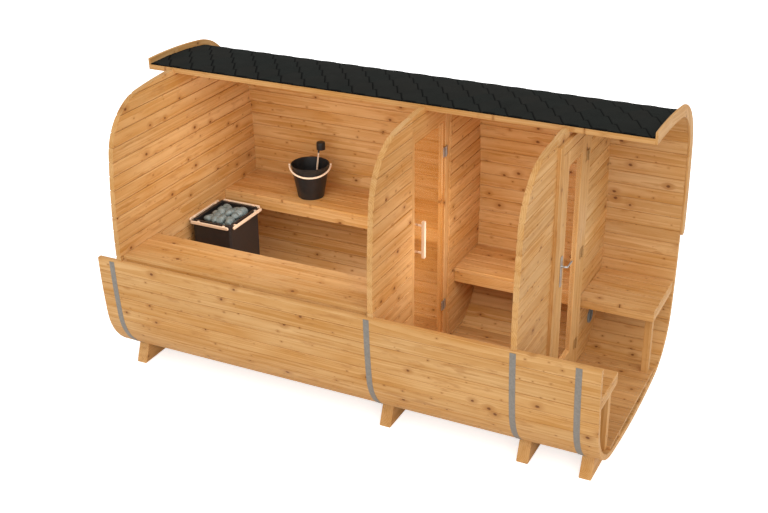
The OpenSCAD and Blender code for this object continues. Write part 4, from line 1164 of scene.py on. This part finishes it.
def hingeShapes(low, high, side):
    # Half of a butt hinge. The fixed half has the two outer knuckles, the moving half has the middle one, and
    # a strap joins each knuckle to the plate.
    b, wide, thick, gap = (hinge[k] for k in ("barrel", "wide", "thick", "gap"))
    tall, z = (high - low)[2], (high + low)[2] / 2
    pinX, pinY = high[0] - b, (low[1] + b if side > 0 else high[1] - b)
    y = pinY + side * (b + gap + wide / 2)
    outline = roundedRectangle(wide, tall, hinge["corner"])
    shapes = [plate(outline, facingX(low[0], y, z), 0, thick, hinge["edge"])]
    quarter, e = tall / 4, 0.0005
    fixed, moving = [(-2 * quarter, -quarter), (quarter, 2 * quarter)], [(-quarter + gap, quarter - gap)]
    for z0, z1 in fixed if side > 0 else moving:
        knuckle = [(0, z0), (b - e, z0), (b, z0 + e), (b, z1 - e), (b - e, z1), (0, z1)]
        shapes.append(lathe(knuckle, np.array([pinX, pinY, z]), [(1, 0, 0), (0, 1, 0), (0, 0, 1)], 16))
        ends = sorted([pinY, y - side * wide / 2 + side * hinge["strapGap"]])
        strap = (low[0], ends[0], z + z0), (low[0] + thick, ends[1], z + z1)
        shapes.append(plainBox(*strap, 0.0003))
    for across, up in hinge["screwPlaces"]:
        place = (low[0] + thick, y + side * across * wide, z + up * tall)
        shapes.append(screwHead(place, (1, 0, 0), hinge["screw"]))
    return shapes


def addHinges():
    # one half for each solid of the four hinge nodes
    for node, name, body, slot, material, side in (
            ("sauna_hinge_plates", "saunaHingeFixed", "sauna", "chromed_fittings", chrome, 1),
            ("sauna_hinge_clamps", "saunaHingeMoving", "sauna_door", "chromed_fittings", chrome, -1),
            ("front_hinge_plates", "frontHingeFixed", "sauna", "galvanised_steel", bronzed, 1),
            ("front_hinge_leaves", "frontHingeMoving", "front_door", "galvanised_steel", bronzed, -1)):
        shapes = [part for low, high in solidsOf(node) for part in hingeShapes(low, high, side)]
        addPiece(name, shapes, body, material, [node])


handle = {
    "plateCorner": 0.011, "plateEdge": 0.0016, "screw": 0.0042, "screwPlaces": (0.42, -0.42),
    "keyBelow": 0.072,  # key cylinder under the lever
    "bar": 0.008, "bend": 0.015, "spindle": 0.005, "sunk": 0.0006,  # how far collars stand in the plates
    # turned profiles of (radius, height): the key cylinder with its rim, and the lever's collar
    "cylinder": ((0, 0), (0.0088, 0), (0.0088, 0.0008), (0.0082, 0.0014), (0.0030, 0.0014), (0.0028, 0.0005),
                 (0, 0.0005)),
    "collar": ((0, 0), (0.0125, 0), (0.0125, 0.003), (0.0115, 0.0042), (0.009, 0.0045), (0, 0.0045)),
}


def addHandles():
    # a long plate with two screws and a key cylinder on each face, one spindle, and a bent lever on each side
    f = handle
    low, high = boxOf("door_lever")
    y, z = low[1] + f["bar"], (low + high)[2] / 2
    solids = solidsOf("handle_plates")
    shapes = []
    for (a, b), out in zip(solids, (-1, 1)):
        face = b[0] if out < 0 else a[0]
        size, middle = b - a, (a + b) / 2
        turned = lambda p, face=face, out=out, middle=middle: np.stack(
            [face + out * p[:, 2], middle[1] + p[:, 0], middle[2] + p[:, 1]], -1)
        outline = roundedRectangle(size[1], size[2], f["plateCorner"])
        shapes.append(plate(outline, turned, 0, size[0], f["plateEdge"]))
        top = face + out * size[0]
        for up in f["screwPlaces"]:
            shapes.append(screwHead((top, y, middle[2] + up * size[2]), (out, 0, 0), f["screw"]))
        shapes.append(alongX(f["cylinder"], top, y, z - f["keyBelow"], 24, out))
    addPiece("handleBackPlates", shapes, "front_door", chrome, ["handle_plates"])
    outer, inner, r = solids[0][0][0], solids[1][1][0], f["spindle"]
    reach = inner - outer + 0.002
    shapes = [alongX([(0, 0), (r, 0), (r, reach), (0, reach)], outer - 0.001, y, z)]
    # straight out from the plate, round a bend, and along the door to a rounded end: nine places from the
    # tip, in units of the bar's radius, and the bar's size at each
    tipBack = np.array([9, 6, 3, 1.5, 0.9, 0.5, 0.25, 0.08, 0])
    tipSize = [1, 1, 1, 1, 0.97, 0.86, 0.68, 0.4, 0.12]
    turn, bend = np.linspace(0, np.pi / 2, 8), f["bend"]
    for out, start, end in ((-1, outer - f["sunk"], low[0] + f["bar"]),
                            (1, inner + f["sunk"], high[0] - f["bar"])):
        x = np.concatenate([[start, start + out * 0.004], end - out * bend + out * bend * np.sin(turn),
                            np.full(9, end)])
        along = np.concatenate([[0, 0], bend - bend * np.cos(turn), high[1] - y - f["bar"] * tipBack])
        size = np.concatenate([np.ones(10), tipSize])
        size = np.stack([size, size * np.concatenate([np.ones(10), np.full(9, 0.92)])], -1)
        path = np.stack([x, y + along, np.full(len(x), z)], -1)
        shapes.append(carry(path, (0, 0, 1), circle(f["bar"], 16), size))
        shapes.append(alongX(f["collar"], start, y, z, 24, out))
    addPiece("leverHandles", shapes, "door_lever", chrome, ["door_lever"])


pull = {"thick": 0.028, "chamfer": 0.005, "pegInset": 0.040}


def addPulls():
    # wooden bars with cut edges, each on two round pegs that meet the glass
    random = np.random.default_rng(81)
    shapes = []
    for k, (low, high) in enumerate(solidsOf("sauna_door_pulls")):
        t = pull["thick"]
        x0, x1 = (low[0], low[0] + t) if k == 0 else (high[0] - t, high[0])
        shapes.append(boards(random, (x0, low[1], low[2]), (x1, high[1], high[2]), pull["chamfer"],
                             "z"))
        peg, face = (x1 - 0.002, high[0]) if k == 0 else (low[0], x0 + 0.002)
        r, y = t / 3, (low + high)[1] / 2
        for z in (low[2] + pull["pegInset"], high[2] - pull["pegInset"]):
            shapes.append(alongX([(0, 0), (r, 0), (r, face - peg), (0, face - peg)], peg, y, z))
    addPiece("saunaPullBars", shapes, "sauna_door", smallWood, ["sauna_door_pulls"])


vent = {"rim": 0.013, "slatPitch": 0.012, "slatHalf": 0.003, "slats": 7}


def addVent():
    # a round cover with a rolled rim, a dished middle and level slats
    low, high = boxOf("wall_vent")
    r, t = (high - low)[2] / 2, (high - low)[0]
    y, z = (low + high)[1:] / 2
    profile = [(0, 0), (r - 0.001, 0), (r, 0.001), (r, t - 0.006), (r - 0.0015, t - 0.002), (r - 0.005, t),
               (r - 0.011, t), (r - 0.014, t - 0.002), (r - 0.015, t - 0.007), (0, t - 0.007)]
    shapes = [alongX(profile, low[0], y, z, 48)]
    reach, h = r - vent["rim"], vent["slatHalf"]
    for up in (np.arange(vent["slats"]) - vent["slats"] // 2) * vent["slatPitch"]:
        half = np.sqrt(max(reach ** 2 - (abs(up) + h) ** 2, 1e-4))
        slat = (low[0] + 0.004, y - half, z + up - h), (high[0] - 0.0015, y + half, z + up + h)
        shapes.append(plainBox(*slat, 0.001))
    addPiece("ventCover", shapes, "sauna", ventPlastic, ["wall_vent"])


addHinges()
addHandles()
addPulls()
addVent()
print("fittings fixed")


# Heater

stove = {
    "wall": 0.004, "corner": 0.014, "rimWide": 0.020, "rimDrop": 0.004, "rimTall": 0.012, "rimProud": 0.0012,
    "shelfDown": 0.20, "capInset": 0.017, "capHalf": 0.009, "capDown": 0.004, "capUp": 0.006,
}


def addHeater():
    # One skin from the underside up the outside, over a folded rim and down inside to the shelf
    low, high = boxOf("heater_body")
    x0, y0, x1, y1 = low[0], low[1], high[0], high[1]
    k = stove["corner"]
    outline = np.array([(x0 + k, y0), (x1 - k, y0), (x1, y0 + k), (x1, y1 - k), (x1 - k, y1), (x0 + k, y1),
                        (x0, y1 - k), (x0, y0 + k)])
    top, proud, wide, tall = high[2], stove["rimProud"], stove["rimWide"], stove["rimTall"]
    lip = top - stove["rimDrop"]
    steps = [(0.003, low[2]), (0, low[2] + 0.003), (0, top - tall), (-proud, top - tall + proud),
             (-proud, top - proud), (0, top), (wide * 0.3, top), (wide, lip), (wide, lip - 0.003),
             (stove["wall"], lip - 0.003), (stove["wall"], top - stove["shelfDown"])]
    rings = np.stack([np.column_stack([insetOutline(outline, inset), np.full(8, z)]) for inset, z in steps])
    shapes = [tubes(rings[None])]
    # square caps over the rim's corners
    half, inset = stove["capHalf"], stove["capInset"]
    for x in (x0 + inset, x1 - inset):
        for y in (y0 + inset, y1 - inset):
            cap = (x - half, y - half, top - stove["capDown"]), (x + half, y + half, top + stove["capUp"])
            shapes.append(plainBox(*cap, 0.002))
    addPiece("heaterCasing", shapes, "sauna", heaterPaint, ["heater_body"], sharp=25)


rail = {"thick": 0.014, "round": 0.011, "block": 0.020, "blockInset": 0.060}


def addRail():
    # round-edged bars on edge round the heater, each held off it by two blocks near its ends
    random = np.random.default_rng(91)
    bodyLow, bodyHigh = boxOf("heater_body")
    shapes = []
    for low, high in solidsOf("heater_rail"):
        middle, size = (low + high) / 2, high - low
        run, across = (0, 1) if size[0] > size[1] else (1, 0)
        out = -1 if (middle - (bodyLow + bodyHigh) / 2)[across] < 0 else 1
        length, face = size[run], (high if out > 0 else low)[across]

        def placed(p, m=middle, f=face, o=out, run=run):
            # the plate's across way lies along the bar, its up way is Z, and its depth goes inwards
            both = [m[run] + p[:, 0], f - o * p[:, 2]]
            return np.stack([*(both if run == 0 else both[::-1]), m[2] + p[:, 1]], -1)

        outline = roundedRectangle(length, size[2], rail["round"])
        shapes.append(plate(outline, placed, 0, rail["thick"], 0.003, random))
        for end in (-1, 1):
            block = roundedRectangle(rail["block"], size[2] * 0.7, 0.004)
            block[:, 0] += end * (length / 2 - rail["blockInset"])
            shapes.append(plate(block, placed, rail["thick"] - 0.002, size[across], 0.001, random))
    addPiece("heaterRailBars", shapes, "sauna", smallWood, ["heater_rail"])


heap = {
    "size": (0.038, 0.047), "layers": 3, "columns": 4, "rows": 5, "down": 0.085,
    # the stones' shift from the grid, the reach of their planes, how sharply these meet, and their stretch
    "jitter": 0.25, "planes": 9, "planeReach": (0.72, 1.0), "planeSharp": 9, "stretch": (0.8, 1.1),
}


def addStones():
    # Loose stones on a jittered grid, in layers. Each is a ball whose radius in each direction is a soft
    # least of its distances to nine random planes, which gives worn facets.
    random = np.random.default_rng(97)
    ball = bmesh.new()
    bmesh.ops.create_icosphere(ball, subdivisions=3, radius=1)
    way = np.array([v.co for v in ball.verts])
    faces = np.array([[v.index for v in f.verts] for f in ball.faces])
    ball.free()
    low, high = boxOf("heater_stones")
    rimTop = boxOf("heater_body")[1][2]
    side = stove["rimWide"] + 0.004
    edge0, edge1 = low[:2] + side, high[:2] - side
    rows, columns = heap["rows"], heap["columns"]
    u, v = np.meshgrid((np.arange(columns) + 0.5) / columns, (np.arange(rows) + 0.5) / rows, indexing="ij")
    shapes = []
    for layer in range(heap["layers"]):
        shift = 0.5 * (layer % 2) / columns
        spots = np.stack([u.ravel() + shift * 0.8, v.ravel() + 0.5 * (layer % 2) / rows], -1)
        spots += random.uniform(-heap["jitter"], heap["jitter"], spots.shape) / [columns, rows]
        spots = np.clip(spots, 0, 1)
        size = random.uniform(*heap["size"], len(spots))
        middle = edge0 + size[:, None] * 0.8 + spots * (edge1 - edge0 - 1.6 * size[:, None])
        off = np.abs(spots - 0.5).max(1) * 2
        mound = (high[2] - rimTop - 0.004) * (1 - off ** 3)
        height = rimTop + mound - size * 0.62 - heap["down"] * 0.52 * (heap["layers"] - 1 - layer)
        height = height - random.uniform(0, 0.010, len(spots))
        planes = random.normal(size=(len(spots), heap["planes"], 3))
        planes /= np.linalg.norm(planes, axis=-1, keepdims=True)
        reach = random.uniform(*heap["planeReach"], (len(spots), heap["planes"], 1))
        toward = np.maximum(planes @ way.T, 0) / reach
        radius = ((toward ** heap["planeSharp"]).sum(1) + 0.5) ** (-1 / heap["planeSharp"])
        stretch = random.uniform(*heap["stretch"], (len(spots), 1, 3)) * [1.0, 1.05, 0.78]
        points = way[None] * radius[..., None] * stretch * size[:, None, None]
        points += np.column_stack([middle, height])[:, None]
        points[..., 2] = np.minimum(points[..., 2], high[2])
        tone = np.repeat(random.uniform(-1, 1, len(spots)), len(way))
        offset = np.arange(len(spots))[:, None, None] * len(way)
        shapes.append(shape(points, [(faces + offset).reshape(-1, 3)], np.zeros_like(points), tone))
    addPiece("heaterStoneHeap", shapes, "sauna", diabase, ["heater_stones"], sharp=60)


addHeater()
addRail()
addStones()
print("heater built")


# Bucket and ladle

bucket = {
    "base": 0.110, "rim": 0.162, "wall": 0.006, "pinDown": 0.012, "pin": 0.005, "turn": 26.0,  # degrees
    "groove": 0.235, "grooveDeep": 0.0012,
}


def bucketFrame():
    # the middle of the bucket's underside, its axes turned about Z, and its height
    low, high = boxOf("water_bucket")
    turn = np.radians(bucket["turn"])
    axes = np.array([(np.cos(turn), np.sin(turn), 0), (-np.sin(turn), np.cos(turn), 0), (0, 0, 1)])
    return np.array([*(low + high)[:2] / 2, low[2]]), axes, high[2] - low[2]


def addBucket():
    # a turned bucket that widens from base to rim, with a groove under its rolled rim and two pins
    middle, axes, tall = bucketFrame()
    base, rim, t = bucket["base"], bucket["rim"], bucket["wall"]
    slope = (rim - base) / tall
    at = lambda h, off=0.0: (base + slope * h + off, h)
    h, deep = bucket["groove"], bucket["grooveDeep"]
    profile = [(0, 0.003), (base - 0.012, 0.003), (base - 0.010, 0), (base - 0.002, 0), at(0.002), at(h),
               at(h + 0.002, -deep), at(h + 0.005, -deep), at(h + 0.007), at(tall - 0.010),
               at(tall - 0.008, 0.0014),
               at(tall - 0.002, 0.0012), at(tall, -0.001), at(tall, -t * 0.6), at(tall - 0.002, -t),
               at(tall - 0.010, -t), at(0.008, -t), at(t, -t - 0.003), (0, t)]
    shapes = [lathe(profile, middle, axes, 72)]
    r, z, length = bucket["pin"], tall - bucket["pinDown"], 2 * bail["bar"] + bail["gap"] + t
    pin = [(0, 0), (r, 0), (r, length - 0.001), (r - 0.001, length), (0, length)]
    for out in (-axes[0], axes[0]):
        start = middle + axes[2] * z + out * (rim - t)
        shapes.append(lathe(pin, start, [axes[1], axes[2], out], 20))
    addPiece("bucketBody", shapes, "sauna", bucketBlack, ["water_bucket"])


bail = {"bar": 0.008, "gap": 0.002, "eye": 0.011, "bore": 0.0051, "hang": 20.015}  # degrees below level


def addBail(random):
    # half a ring that hangs below level by an angle, with an eye round each pin
    middle, axes, tall = bucketFrame()
    half = bucket["rim"] + bail["bar"] + bail["gap"]
    hang = np.radians(bail["hang"])
    forward = -(axes[1] * np.cos(hang) + axes[2] * np.sin(hang))
    centre = middle + axes[2] * (tall - bucket["pinDown"])
    angle = np.linspace(0.05, np.pi - 0.05, 61)  # stops inside the eyes
    path = centre + half * (np.cos(angle)[:, None] * axes[0] + np.sin(angle)[:, None] * forward)
    normal = np.cross(axes[0], forward)
    shapes = [carry(path, normal, circle(bail["bar"], 16), random=random)]
    for side in (-1, 1):
        out = axes[0] * side
        r0, r1, w = bail["bore"], bail["eye"], bail["bar"]
        profile = np.array([(r0, -w), (r1 - 0.002, -w), (r1, -w + 0.002), (r1, w - 0.002), (r1 - 0.002, w),
                            (r0, w)])
        steps = 28
        turnRing = (np.arange(steps) * 2 * np.pi / steps)[None, :, None]
        spoke = np.cos(turnRing) * axes[1] + np.sin(turnRing) * axes[2]
        rings = centre + out * half + profile[:, None, :1] * spoke + profile[:, None, 1:] * out
        faces = gridFaces(len(profile), steps, True)
        back, last = np.arange(steps), (len(profile) - 1) * steps
        bore = np.stack([back, np.roll(back, -1), np.roll(back, -1) + last, back + last], -1)
        place, tone = grain(random, *(((rings - centre) @ axes[i])[None] for i in range(3)))
        shapes.append(shape(rings, [faces, bore], place, tone))
    addPiece("bailBow", shapes, "bail", smallWood, ["bucket_bail"])


ladle = {
    # the handle's foot, and the way that it leans to
    "foot": (0.030, 0.0, 0.011), "leanX": 0.061, "leanReach": 0.1463, "handle": 0.008, "handleLength": 0.372,
    "tang": 0.004, "tangSunk": 0.006,
    "cup": 0.038, "cupDeep": 0.066, "cupLift": 0.022, "cupTurn": -58.0, "cupWall": 0.002,
}


def addLadle(random):
    # a slanted round handle, and a cup hung mouth down on an upright tang
    middle, axes, tall = bucketFrame()
    foot = np.array(ladle["foot"])
    lean = np.array([ladle["leanX"], np.sqrt(ladle["leanReach"] ** 2 - ladle["leanX"] ** 2), tall]) - foot
    lean /= np.linalg.norm(lean)
    length, r = ladle["handleLength"], ladle["handle"]
    inFrame = lambda p: middle + np.asarray(p) @ axes
    side = np.cross(lean, [0, 0, 1])
    side /= np.linalg.norm(side)
    leanAxes = [side @ axes, np.cross(lean, side) @ axes, lean @ axes]
    profile = [(0, 0), (r * 0.7, 0.0008), (r * 0.95, 0.004), (r, 0.012), (r, length * 0.3),
               (r * 0.9, length * 0.7), (r * 0.85, length - 0.01), (r * 0.7, length - 0.002), (0, length)]
    grip = lathe(profile, inFrame(foot), leanAxes, 20, random)
    addPiece("ladleHandle", [grip], "sauna", smallWood, ["ladle"])
    top = foot + lean * length
    toCup = np.radians(ladle["cupTurn"])
    cup = top + ladle["cup"] * np.array([np.cos(toCup), np.sin(toCup), 0]) + [0, 0, ladle["cupLift"]]
    c, deep, w = ladle["cup"], ladle["cupDeep"], ladle["cupWall"]
    bowl = [(0, deep), (c * 0.8, deep), (c * 0.93, deep - 0.003), (c - 0.0005, deep - 0.010),
            (c, deep - 0.02), (c, 0.001), (c - 0.0008, 0), (c - w + 0.0003, 0.0008), (c - w, 0.004),
            (c - w, deep - 0.014), (c * 0.8, deep - w - 0.002), (0, deep - w)]
    q, sunk = ladle["tang"], ladle["tangSunk"]
    end = sunk + ladle["cupLift"] + deep * 0.8
    tang = [(0, 0), (q, 0), (q, end - 0.002), (q - 0.002, end), (0, end)]
    ferrule = [(0, -0.022), (r * 0.93, -0.022), (r * 0.93, 0.001), (r * 0.6, 0.005), (0, 0.005)]
    shapes = [lathe(bowl[::-1], inFrame(cup), axes, 40), lathe(tang, inFrame(top - [0, 0, sunk]), axes, 16),
              lathe(ferrule, inFrame(top), leanAxes, 20)]
    addPiece("ladleCup", shapes, "sauna", bucketBlack)


bucketRandom = np.random.default_rng(101)
addBucket()
addBail(bucketRandom)
addLadle(bucketRandom)
print("bucket and ladle set")
